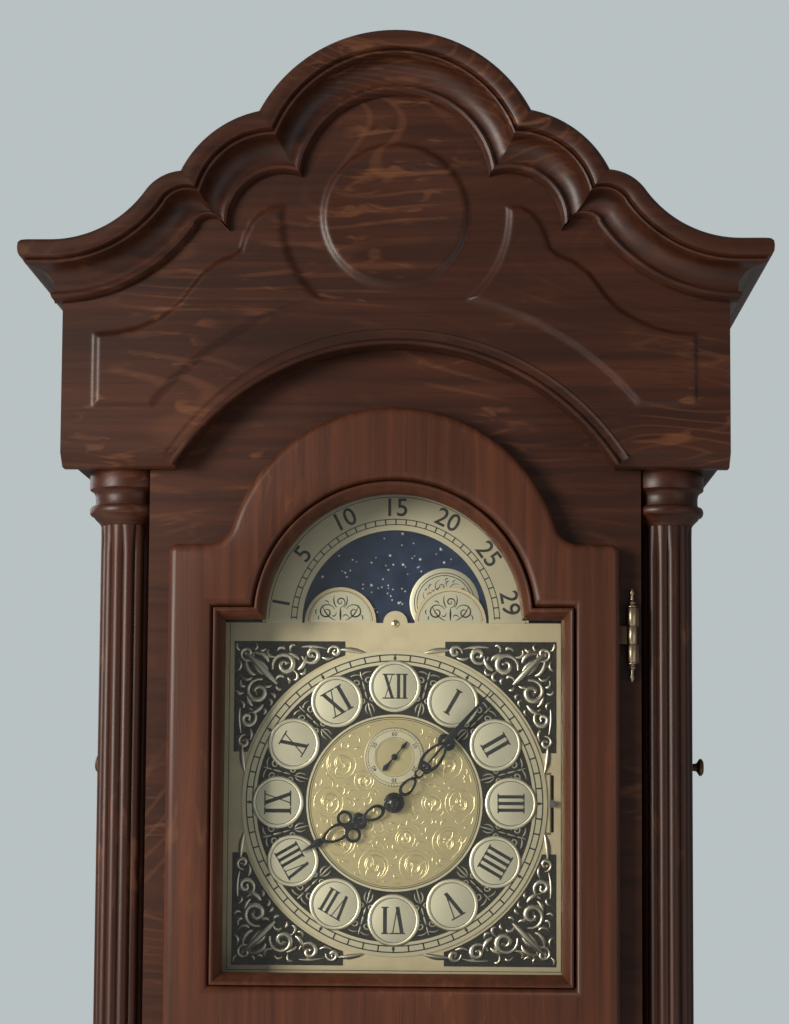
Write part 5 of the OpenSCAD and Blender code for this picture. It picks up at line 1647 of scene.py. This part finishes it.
        reach = self.ring_in
        lines = filled(lines, inside, (-reach, reach, DIAL_Z - reach, DIAL_Z + reach), 2.1, 7.5, 0.8, 5200)
        self.put(tube("centre_chased_scrolls", lines, y, 0.75, 0.55, 2), "brass_centre", "dial_brass")
        self.put(hoop("centre_border_lines", [(self.ring_in - 2.2, self.ring_in - 1.8),
            (self.ring_in - 0.9, self.ring_in - 0.4)], (0.0, DIAL_Z), y), "", "black")

    def age_outline(self) -> list[Point]:
        """Half ring that carries the days of the moon."""
        return arc(0, ARCH_Z, 101, 180, 0, 90) + arc(0, ARCH_Z, self.moon_r, 0, 180, 70)

    def seconds_dial(self) -> None:
        """Small seconds ring above the centre."""
        y = DIAL_Y - self.trim
        centre = (0.0, DIAL_Z + self.seconds_up)
        body = sweep("seconds_ring", ring(*centre, 14.5, 96), [(0, 0), (0, 0.6), (-8.3, 0.6), (-8.8, 0.2),
            (-8.8, 0)], upright_at(y))
        self.put(body, "brass_ring", "dial_brass")
        top = y - 0.6
        self.put(hoop("seconds_circles", [(15.1, 15.4), (20.3, 20.55), (22.3, 22.6)], centre, top), "",
            "black")
        self.put(round_the_dial("seconds_strokes", self.tick(0, 2.0, 0.22), 60, 20.4, centre, top,
            "engraved_black"), "", "black")
        marks = [figure("seconds_figure", str(10 * k), 3.1, clockwise(17.9, 60 * k, centre[1]), top,
            60.0 * k) for k in range(1, 7)]
        for mark in marks:
            mark.data.materials.append(FINISH["engraved_black"])
        self.put(joined("seconds_figures", marks), "", "black")

    def spandrels(self) -> None:
        """Cast foliage in the four corners, over an antiqued ground."""
        lines = []
        far, near = DIAL_HALF - 14.5, 39.0
        round_ring = self.ring_out + 2.4
        corner = math.degrees(math.asin(near / round_ring))
        grounds = []
        for quarter in range(4):
            edge = arc(0, 0, round_ring, corner, 90 - corner, 24)
            outline = [*edge, (near, far), (far, far), (far, near)]
            grounds.append(plate("ground", [shifted(outline, 0, DIAL_Z, 90.0 * quarter)], DIAL_Y - 0.3, 0.3))
            grounds[-1].data.materials.append(FINISH["antiqued"])
        self.put(joined("spandrel_grounds", grounds), "", "dial_brass")

        def inside(x: float, z: float) -> bool:
            """Whether a place lies on the upper right ground, clear of its edges."""
            return near + 1 < max(x, z) < far - 1.2 and min(x, z) > near and math.hypot(x,
                z) > round_ring + 1.6

        sprays = filled(self.foliage(), inside, (near, far, near, far), 2.5, 9.0, 0.72, 2600)
        for sx in (-1, 1):
            for sz in (-1, 1):
                for points in sprays:
                    lines.append([(sx * x, DIAL_Z + sz * z, share) for x, z, share in points])
        self.put(tube("cast_spandrels", lines, DIAL_Y - 0.3, 1.9, 0.75, 3), "brass_cast", "dial_brass")

    def foliage(self) -> list:
        """Wires of the upper right spandrel, alike about its diagonal."""
        half = DIAL_HALF - 17.0
        wires = [leaf(half - 31, half - 31, 45, 37, 1.7), spiral(half - 7, half - 7, 6.5, 225, 1.4, 0.7)]
        for flip in (False, True):
            side = [spiral(half - 16, half - 37, 10.5, 110, -1.5, 1.1),
                spiral(half - 8, half - 58, 8.0, 100, 1.35, 0.95), spiral(half - 5.5, half - 76, 5.5, 100,
                -1.25, 0.8), leaf(half - 4, half - 80, -88, 21, 1.15, -10),
                leaf(half - 20, half - 47, -60, 13, 1.1, 30), leaf(half - 14, half - 24, 10, 15, 1.1, 50),
                leaf(half - 10, half - 66, -120, 9, 0.8, 30), leaf(half - 24, half - 22, 70, 20, 1.2, -40),
                leaf(half - 12, half - 48, 30, 12, 0.9, 40), leaf(half - 2, half - 50, -80, 20, 0.7, -14)]
            for wire in side:
                wires.append([(z, x, share) if flip else (x, z, share) for x, z, share in wire])
        return wires

    def moon_arch(self) -> None:
        """Numbers and track of the moon's days, the humps' lines and the hub's rivet."""
        y = DIAL_Y - self.trim
        centre = (0.0, ARCH_Z)
        radii = [(77.0, 77.7), (81.2, 81.9), (98.8, 99.3)]
        self.put(hoop("moon_age_circles", radii, centre, y, 2.0, 178.0), "", "black")
        track = round_the_dial("moon_age_strokes", self.tick(0, 4.2, 1.0), 31, 77.4, centre, y,
            "engraved_black", -87.0, 174.0)
        self.put(track, "", "black")
        marks = []
        for k, day in enumerate(self.days):
            turn = -80.0 + 160.0 * k / (len(self.days) - 1)
            at = clockwise(90.2, turn, ARCH_Z)
            marks.append(figure("moon_age_figure", day, 14.0, at, y, turn))
            marks[-1].data.materials.append(FINISH["engraved_black"])
        self.put(joined("moon_age_figures", marks), "", "black")
        humps = [hoop("hump", [(self.hump_r - 3.0, self.hump_r - 2.6)], (s * self.hump_x, ARCH_Z), DIAL_Y,
            4.0, 176.0) for s in (-1, 1)]
        self.put(joined("moon_hump_lines", humps), "", "black")
        wires = []
        for s in (-1, 1):
            curls = [spiral(11.0, 8.5, 7.0, 160, -1.5, 0.8), spiral(-11.0, 8.5, 7.0, 20, 1.5, 0.8),
                spiral(0, 16.5, 4.5, 270, 1.4, 0.7), leaf(0, 2, 90, 10, 1.2),
                leaf(-3, 12, 130, 10, 0.8, -30), leaf(3, 12, 50, 10, 0.8, 30), leaf(4, 2, 20, 16, 0.8, 30),
                leaf(-4, 2, 160, 16, 0.8, -30)]
            curls = filled(curls, lambda x, z: z > 2 and math.hypot(x, z) < self.hump_r - 6,
                (-24, 24, 2, 24), 1.9, 6.0, 0.7, 700)
            wires += [[(s * self.hump_x + x, ARCH_Z + z, share) for x, z, share in wire] for wire in curls]
        grounds = [plate("ground", [arc(s * self.hump_x, ARCH_Z + 0.6, self.hump_r - 4.6, 0, 180, 32)],
            DIAL_Y - 0.15, 0.15) for s in (-1, 1)]
        for ground in grounds:
            ground.data.materials.append(FINISH["cartouche_silver"])
        self.put(joined("moon_hump_grounds", grounds), "", "dial_brass")
        self.put(tube("moon_hump_engraving", wires, DIAL_Y - 0.15, 0.62, 0.5, 1), "antiqued", "black")
        rivet = lathe("moon_hub_rivet", [(0, 1.6), (1.6, 1.5), (2.7, 0.9), (3.1, 0), (0, 0)],
            (0, DIAL_Y, ARCH_Z - 0.5), "y", 32)
        self.put(rivet, "brass_polished", "brass")

    def moon(self) -> None:
        """Night sky disc with two moons and its stars; it turns behind the plate."""
        self.dress("moon_navy", "moon_disc")
        y = AT.low("moon_disc").y
        parts, moons = [], []
        for side, turn in ((1, 67.0), (-1, 67.0)):
            at = (side * 41.5 * math.sin(math.radians(turn)), ARCH_Z
                + side * 41.5 * math.cos(math.radians(turn)))
            moons.append(at)
            moon = lathe("moon", [(0, 0.45), (20, 0.42), (25.5, 0.3), (27.2, 0.0), (0, 0)],
                (at[0], y, at[1]), "y", 64)
            moon.data.materials.append(FINISH["cartouche_silver"])
            marks = tube("marks", self.moon_marks(*at), y - 0.4, 0.5, 0.5, 1)
            marks.data.materials.append(FINISH["antiqued"])
            parts += [moon, marks]
        random.seed(self.seed)
        stars = []
        for _ in range(210):
            a, r = math.radians(random.uniform(0, 360)), random.uniform(16, 71)
            x, z = r * math.sin(a), ARCH_Z + r * math.cos(a)
            if min(math.hypot(x - p[0], z - p[1]) for p in moons) < 30:
                continue
            size = random.choice((0.7, 0.9, 1.0, 1.5))
            points = [(x + size * (1 if i % 2 == 0 else 0.38) * math.sin(math.pi * i / 5),
                z + size * (1 if i % 2 == 0 else 0.38) * math.cos(math.pi * i / 5)) for i in range(10)]
            stars.append(points)
        sky = engraved("stars", stars, y, 0.1)
        sky.data.materials.append(FINISH["moon_cream"])
        self.put(joined("moon_and_stars", [*parts, sky]), "", "navy", body="moon_disc")

    def moon_marks(self, x: float, z: float) -> list:
        """Engraved rings and curls on a moon's face."""
        wires = [[(x + r * math.cos(a), z + r * math.sin(a), 0.6)
            for a in (math.radians(d) for d in range(0, 361, 12))] for r in (23.5, 21.5)]
        for k in range(7):
            a = math.radians(360 * k / 7)
            at = (x + 13 * math.cos(a), z + 13 * math.sin(a))
            wires += [spiral(*at, 5.4, 50 * k, 1.3, 0.8), leaf(*at, 52 * k + 90, 7.5, 1.0, 60)]
        wires.append(spiral(x, z, 6.0, 20, 1.6, 0.8))
        reach = 20.0
        return filled(wires, lambda a, b: math.hypot(a - x, b - z) < reach,
            (x - reach, x + reach, z - reach, z + reach), 1.7, 5.0, 0.9, 900)

    def lever(self) -> None:
        """The chime lever and its slot's edge."""
        self.dress("steel_bright", "chime_lever")
        x = AT.middle("chime_lever").x
        frame_line = plate("chime_slot_edge", [[(x - 2.4, DIAL_Z - 24), (x + 2.4, DIAL_Z - 24),
            (x + 2.4, DIAL_Z + 24), (x - 2.4, DIAL_Z + 24)], [(x - 1.3, DIAL_Z + 22.2),
            (x + 1.3, DIAL_Z + 22.2), (x + 1.3, DIAL_Z - 22.2), (x - 1.3, DIAL_Z - 22.2)]], DIAL_Y - 0.25,
            0.25)
        self.put(frame_line, "brass_polished", "brass")


@dataclass
class Hands(SubAssembly):
    """Pierced serpentine hands in black."""

    minute: float = 115.0
    hour: float = 82.0
    minute_turn: float = 40.7
    hour_turn: float = 242.0
    seconds_turn: float = 40.0
    seconds_up: float = 35.4

    def build(self) -> None:
        """Builds the three hands."""
        self.minute_hand()
        self.hour_hand()
        self.seconds_hand()
        self.dress("brass_polished", "minute_wheel")

    def cut(self, name: str, outer: list[list[Point]], holes: list[list[Point]], turn: float, y: float,
            thick: float = 1.0) -> bpy.types.Object:
        """Cuts a hand from overlapping outlines drawn upwards and turns it about the dial's centre."""
        parts = []
        for k, outline in enumerate(outer):
            inside = holes[k] if k < len(holes) else []
            shapes = [shifted(drawn, 0, DIAL_Z, turn) for drawn in (outline, *inside)]
            part = plate(name, shapes, y + 0.01 * k, thick, 0.12, 1)
            part.data.materials.append(FINISH["black_enamel"])
            parts.append(part)
        return joined(name, parts)

    def loop(self, at: float, wide: float, tall: float, wall: float) -> tuple[list[Point], list[Point]]:
        """A pierced almond: its outline and its hole."""
        def almond(w: float, h: float) -> list[Point]:
            return [(w * math.sin(a) * (1 - 0.25 * math.cos(a)), at + h * math.cos(a))
                for a in (2 * math.pi * i / 32 for i in range(32))]
        return almond(wide, tall), almond(wide - wall, tall - wall * 1.4)

    def swell(self, stations: Sequence[Point]) -> list[Point]:
        """A blade from half widths at distances: (distance, half width)."""
        right = [(w, r) for r, w in stations]
        return right + [(-w, r) for r, w in reversed(stations)]

    def barb(self, at: float, side: int, size: float) -> list[Point]:
        """A curled barb that springs from the blade."""
        outer = arc(0, 0, size, -80, 120, 10)
        inner = arc(-size * 0.28, -size * 0.1, size * 0.52, 110, -70, 10)
        return [(side * (x + size * 0.32), at + z) for x, z in outer + inner]

    def boss(self, r: float) -> list[Point]:
        """The round about the arbor."""
        return ring(0, 0, r, 48)

    def minute_hand(self) -> None:
        """Minute hand with a loop, a pierced leaf, barbs and a long tip."""
        loop, loop_hole = self.loop(17.0, 5.0, 9.0, 2.0)
        body, body_hole = self.loop(47.0, 7.4, 14.5, 2.2)
        small, small_hole = self.loop(31.0, 3.4, 5.4, 1.4)
        outer = [self.boss(7.0), loop, small, body, self.swell([(58, 1.5), (66, 3.2), (72, 2.4), (90, 1.5),
            (self.minute - 1, 0.35)]), self.barb(62, 1, 5.6), self.barb(62, -1, 5.6), self.barb(36, 1, 4.4),
            self.barb(36, -1, 4.4), self.swell([(6, 1.8), (10, 1.2)]), self.swell([(25, 1.2), (28, 1.2)]),
            self.swell([(36, 1.1), (38, 1.1)]), self.swell([(38, 0.5), (58, 1.0)])]
        holes = [[self.boss(2.1)], [loop_hole], [small_hole], [body_hole]]
        y = AT.low("minute_hand").y + 3.6
        hand = self.cut("minute_hand_blade", outer, holes, self.minute_turn, y)
        pipe = lathe("pipe", [(2.1, 0), (4, 0), (4, -14), (2.1, -14)], (0, y, DIAL_Z), "y", 32)
        pipe.data.materials.append(FINISH["brass_polished"])
        nut = lathe("nut", [(0, 3.55), (2.2, 3.4), (4, 2.6), (4.9, 1.5), (5, 0), (0, 0)], (0, y, DIAL_Z),
            "y", 40)
        nut.data.materials.append(FINISH["black_enamel"])
        self.put(joined("minute_hand_pierced", [hand, pipe, nut]), "", "black", ["minute_hand"],
            "minute_hand")

    def hour_hand(self) -> None:
        """Hour hand with a trefoil and a pierced leaf."""
        loop, loop_hole = self.loop(18.0, 5.6, 9.5, 2.1)
        left = (ring(-7.2, 39.5, 6.2, 32), ring(-7.2, 39.5, 3.8, 32))
        right = (ring(7.2, 39.5, 6.2, 32), ring(7.2, 39.5, 3.8, 32))
        body, body_hole = self.loop(51.5, 6.6, 11.5, 2.2)
        outer = [self.boss(8.0), loop, left[0], right[0], body, self.swell([(60, 1.6), (67, 3.4), (71, 1.8),
            (self.hour - 1, 0.4)]), self.barb(30, 1, 5.0), self.barb(30, -1, 5.0),
            self.swell([(6, 1.8), (10, 1.3)]), self.swell([(26, 1.4), (42, 2.2)])]
        holes = [[self.boss(4.4)], [loop_hole], [left[1]], [right[1]], [body_hole]]
        y = DIAL_Y - 6.2
        hand = self.cut("hour_hand_blade", outer, holes, self.hour_turn, y)
        pipe = lathe("pipe", [(4.4, 0), (6, 0), (6, -17), (4.4, -17)], (0, y, DIAL_Z), "y", 32)
        pipe.data.materials.append(FINISH["brass_polished"])
        self.put(joined("hour_hand_pierced", [hand, pipe]), "", "black", ["hour_hand"], "hour_hand")

    def seconds_hand(self) -> None:
        """Small seconds hand with a leaf tail."""
        tail = [(-x, -z) for x, z in self.swell([(2, 0.6), (7, 1.0), (11, 2.1), (14, 0.6)])]
        drawn = (ring(0, 0, 2.5, 24), self.swell([(2, 0.7), (8, 0.55), (11, 1.7), (16, 0.2)]), tail)
        shapes = [shifted(points, 0, self.seconds_up, self.seconds_turn) for points in drawn]
        hand = self.cut("seconds_hand_blade", shapes, [], 0.0, AT.low("seconds_hand").y, 0.6)
        self.put(hand, "", "black", ["seconds_hand"], "escape_wheel")


@dataclass
class Movement(SubAssembly):
    """Brass movement, its wheels and the chime work behind the dial."""

    screw_r: float = 3.4

    def build(self) -> None:
        """Dresses the train and adds the pillar screws."""
        self.dress("brass_polished", "movement_plates", "centre_wheel", "going_great_wheel", "third_wheel",
            "strike_great_wheel", "chime_great_wheel", "chime_drum", "rating_nut")
        self.dress("steel_bright", "escape_wheel", "anchor", "chime_rods")
        self.dress("bronze_dark", "chime_hammers")
        self.screws()

    def screws(self) -> None:
        """Screw heads on the rear plate, one at each pillar."""
        high = AT.high("movement_plates")
        rear = AT.low("anchor").y
        head = lathe("screw", [(0, 2.0), (self.screw_r - 1.0, 1.9), (self.screw_r - 0.2, 1.2),
            (self.screw_r, 0.2), (self.screw_r, 0), (0, 0)], (0, 0, 0), "z", 20)
        heads = round_the_dial("rear_plate_screws", head, 4, 76.0, (0.0, DIAL_Z - 10.0),
            min(rear, high.y) - 1.0, "steel_bright", 45.0)
        self.put(heads, "", "steel")


@dataclass
class Hanging(SubAssembly):
    """Pendulum, weights and their chains."""

    link_long: float = 9.4
    link_wide: float = 5.6
    wire: float = 1.1
    pitch: float = 6.6
    sprocket: float = 16.0
    spacing: float = 62.0

    def build(self) -> None:
        """Builds what hangs from the movement."""
        self.pendulum()
        self.weights()
        self.chains()

    def pendulum(self) -> None:
        """Lenticular bob with a beaded rim on a wooden rod with brass ends."""
        body = "pendulum"
        low, high = AT.low("pendulum_bob"), AT.high("pendulum_bob")
        r, half = (high.x - low.x) / 2, (high.y - low.y) / 2
        y, z = (low.y + high.y) / 2, (low.z + high.z) / 2
        face = [(0, half - 0.2), (5, half - 0.3)]
        face += [(r * t, half * (1 - 0.80 * t * t)) for t in (0.1, 0.2, 0.3, 0.4, 0.5, 0.6, 0.7, 0.8, 0.88)]
        rim = [(r - 7.5, half * 0.30), (r - 6.6, half * 0.42), (r - 5, half * 0.47), (r - 3.4, half * 0.42),
            (r - 2.6, half * 0.28), (r - 1.2, half * 0.2), (r - 0.2, 0.9), (r, 0)]
        front = face + rim
        profile = front + [(a, -b) for a, b in reversed(front[:-1])]
        bob = lathe("bob", profile, (0, y, z), "y", 128)
        self.put(bob, "brass_polished", "brass", ["pendulum_bob"], body).name = "pendulum_lens_bob"
        low, high = AT.low("pendulum_rod"), AT.high("pendulum_rod")
        mid = (low.y + high.y) / 2
        top, foot = high.z, low.z
        lath_top, lath_foot = top - 250.0, z - r - 6.0
        parts = [(plate("lath", [[(-8, lath_foot), (8, lath_foot), (8, lath_top), (-8, lath_top)]], mid - 3,
            6, 1.2, 2), "oak_up"), (plate("cap", [[(-8.6, lath_top - 26), (8.6, lath_top - 26),
            (8.6, lath_top + 2), (3.4, lath_top + 9), (-3.4, lath_top + 9), (-8.6, lath_top + 2)]],
            mid - 3.6, 7.2, 0.8, 2), "brass_polished"), (plate("leader",
            [[(-2.5, lath_top), (2.5, lath_top), (2.5, top - 20), (-2.5, top - 20)]], mid - 2, 4, 0.6, 2),
            "brass_polished"), (plate("spring", [[(-5, top - 22), (5, top - 22), (5, top), (-5, top)]],
            mid - 0.3, 0.6), "steel_bright"), (lathe("screw_end",
            [(0, 0), (2, 0), (2, lath_foot + 20 - foot), (0, lath_foot + 20 - foot)], (0, mid, foot), "z",
            24), "steel_bright")]
        for part, finish in parts:
            part.data.materials.append(FINISH[finish])
        self.put(joined("pendulum_rod_and_ends", [part for part, _ in parts]), "", "brass",
            ["pendulum_rod"], body)

    def weights(self) -> None:
        """Three brass shells with turned caps, bored for their chains."""
        for side in ("left", "centre", "right"):
            node = f"weight_{side}"
            low, high = AT.low(node), AT.high(node)
            r = (high.y - low.y) / 2
            x, y, top = (low.x + high.x) / 2, (low.y + high.y) / 2, high.z
            tall = high.z - low.z
            bore = 2.8
            cap = [(bore, 0), (4.6, -0.2), (5, -1.2), (5, -15), (5.6, -17.5), (8, -20), (9.6, -21),
                (12, -21.6), (r - 8, -23), (r - 4.4, -24.4), (r - 1.6, -26.6), (r - 0.4, -29), (r, -31),
                (r, -33.5), (r - 0.9, -34.4), (r - 0.9, -36)]
            foot_cap = [(r - 0.9, -tall + 24), (r - 0.9, -tall + 22.6), (r, -tall + 21.6), (r, -tall + 17),
                (r - 1.6, -tall + 13), (r - 6, -tall + 10.4), (9, -tall + 8.2), (7.4, -tall + 6),
                (6, -tall + 2.4), (4.5, -tall + 0.4), (bore, -tall)]
            count = 72
            rows = [[(x + a * math.cos(2 * math.pi * i / count), y + a * math.sin(2 * math.pi * i / count),
                top + b) for i in range(count)] for a, b in cap + foot_cap]
            verts, faces = grid(rows, wrap_rows=True, wrap_columns=True)
            shell = solid(f"{node}_shell", verts, faces, 30)
            self.put(shell, "brass_polished", "brass", [node], node)

    def link(self, across: bool) -> bpy.types.Object:
        """One oval chain link about the origin, long way up, or along +Y when it lies across."""
        count, around = 10, 4
        straight = (self.link_long - self.link_wide) / 2
        r = (self.link_wide - self.wire) / 2
        rows = []
        for i in range(count):
            a = 2 * math.pi * i / count
            lift = straight if math.sin(a) > 1e-6 else -straight if math.sin(a) < -1e-6 else 0.0
            ring_row = []
            for j in range(around):
                b = 2 * math.pi * j / around + math.pi / 4
                rr = r + self.wire * 0.6 * math.cos(b)
                p = (rr * math.cos(a), self.wire * 0.6 * math.sin(b), rr * math.sin(a) + lift)
                ring_row.append((p[0], p[2], p[1]) if across else p)
            rows.append(ring_row)
        verts, faces = grid(rows, wrap_rows=True, wrap_columns=True)
        return solid("link", verts, faces, 80)

    def chains(self) -> None:
        """Three chains: down through the weights, over the sprockets and down to their free ends."""
        low, high = AT.low("chains"), AT.high("chains")
        y = (low.y + high.y) / 2
        top = high.z - self.sprocket - 1.5
        free = low.z + 12.0
        parts = []
        for n in (-1, 0, 1):
            x = n * self.spacing
            for side, foot in ((-1, free + 84.0), (1, free)):
                parts.append(along_a_line("run", self.link(False), (x + side * self.sprocket, y, foot),
                    (x + side * self.sprocket, y, top), self.pitch, "brass_polished"))
            parts.append(round_the_dial("bend", self.link(True), 8, self.sprocket, (x, top), y,
                "brass_polished", -82.0, 164.0))
            end = lathe("ring_end", [(0, 0)] + [(2.2 + 1.6 * math.sin(math.radians(a)),
                2.2 - 2.2 * math.cos(math.radians(a))) for a in range(0, 181, 30)] + [(0, 4.4)],
                (x + self.sprocket, y, low.z + 3.0), "z", 24)
            end.data.materials.append(FINISH["brass_polished"])
            parts.append(end)
        self.put(joined("weight_chains", parts), "", "brass", ["chains"])


@dataclass
class Studio:
    """Floor, daylight, lamps and camera."""

    camera_at: tuple[float, float, float] = (0.055, -1.785, 1.548)
    pitch: float = 4.45
    turn: float = 1.87
    roll: float = 0.35
    lens: float = 77.0
    shift_x: float = 0.0
    shift_y: float = 0.11

    def build(self) -> None:
        """Sets the scene around the clock."""
        self.floor()
        self.daylight()
        self.lamp("key", (-2.3, -2.4, 2.0), 1.4, 106, (1.0, 0.95, 0.88), (0.0, -0.1, 1.3))
        self.lamp("fill", (2.4, -2.6, 1.2), 2.2, 12, (0.9, 0.95, 1.0), (0.0, -0.1, 1.4))
        self.lamp("back_left", (-2.0, 1.6, 2.4), 1.5, 14, (0.95, 0.98, 1.0), (0.0, 0.0, 1.5))
        self.camera()

    def floor(self) -> None:
        """A plain pale floor."""
        span = 9000.0
        floor = solid("studio_floor", [(-span, -span, 0), (span, -span, 0), (span, span, 0),
            (-span, span, 0)], [(0, 1, 2, 3)], flip_check=False)
        nodes = Nodes("studio_floor_paint")
        cloud = nodes.noise((1.5, 1.5, 1.5), 3.0)
        floor.data.materials.append(nodes.finish({"Base Color": nodes.blend(cloud, (0.80, 0.81, 0.81),
            (0.84, 0.85, 0.85)), "Roughness": 0.7}))

    def daylight(self) -> None:
        """Soft grey surroundings."""
        world = bpy.data.worlds.new("soft_daylight")
        bpy.context.scene.world = world
        world.use_nodes = True
        tree = world.node_tree
        backdrop = tree.nodes["Background"]
        backdrop.inputs[0].default_value = (0.485, 0.535, 0.54, 1.0)
        room = tree.nodes.new("ShaderNodeBackground")
        room.inputs[0].default_value = (0.52, 0.53, 0.52, 1.0)
        room.inputs[1].default_value = 0.32
        seen = tree.nodes.new("ShaderNodeLightPath")
        mix = tree.nodes.new("ShaderNodeMixShader")
        tree.links.new(seen.outputs["Is Camera Ray"], mix.inputs[0])
        tree.links.new(room.outputs[0], mix.inputs[1])
        tree.links.new(backdrop.outputs[0], mix.inputs[2])
        tree.links.new(mix.outputs[0], tree.nodes["World Output"].inputs[0])
        bpy.context.scene.view_settings.view_transform = "Standard"

    def lamp(self, name: str, at: tuple, size: float, power: float, colour: tuple, aim: tuple) -> None:
        """A square soft lamp aimed at a point."""
        data = bpy.data.lights.new(name, "AREA")
        data.size, data.energy, data.color = size, power, colour
        lamp = bpy.data.objects.new(name, data)
        bpy.context.scene.collection.objects.link(lamp)
        lamp.location = at
        lamp.rotation_euler = (Vector(aim) - Vector(at)).to_track_quat("-Z", "Y").to_euler()

    def camera(self) -> None:
        """Stands a little right of the middle at the height of the dial."""
        data = bpy.data.cameras.new("camera")
        data.lens, data.sensor_width, data.sensor_fit = self.lens, 36.0, "AUTO"
        data.shift_x, data.shift_y = self.shift_x, self.shift_y
        camera = bpy.data.objects.new("camera", data)
        bpy.context.scene.collection.objects.link(camera)
        camera.location = self.camera_at
        turn = Matrix.Rotation(math.radians(self.turn), 4, "Z") @ Matrix.Rotation(math.radians(90
            + self.pitch), 4, "X")
        camera.rotation_euler = (turn @ Matrix.Rotation(math.radians(self.roll), 4, "Z")).to_euler()
        bpy.context.scene.camera = camera


def write_sizes() -> None:
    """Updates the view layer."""
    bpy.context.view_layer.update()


def main() -> None:
    """Builds the clock from the floor up, then its surroundings."""
    for part in (Lower(), HoodCase(), Pediment(), HoodDoor(), Dial(), Hands(), Movement(), Hanging()):
        log.info("building %s", type(part).__name__)
        part.build()
    Studio().build()
    write_sizes()


if __name__ == "__main__":
    main()
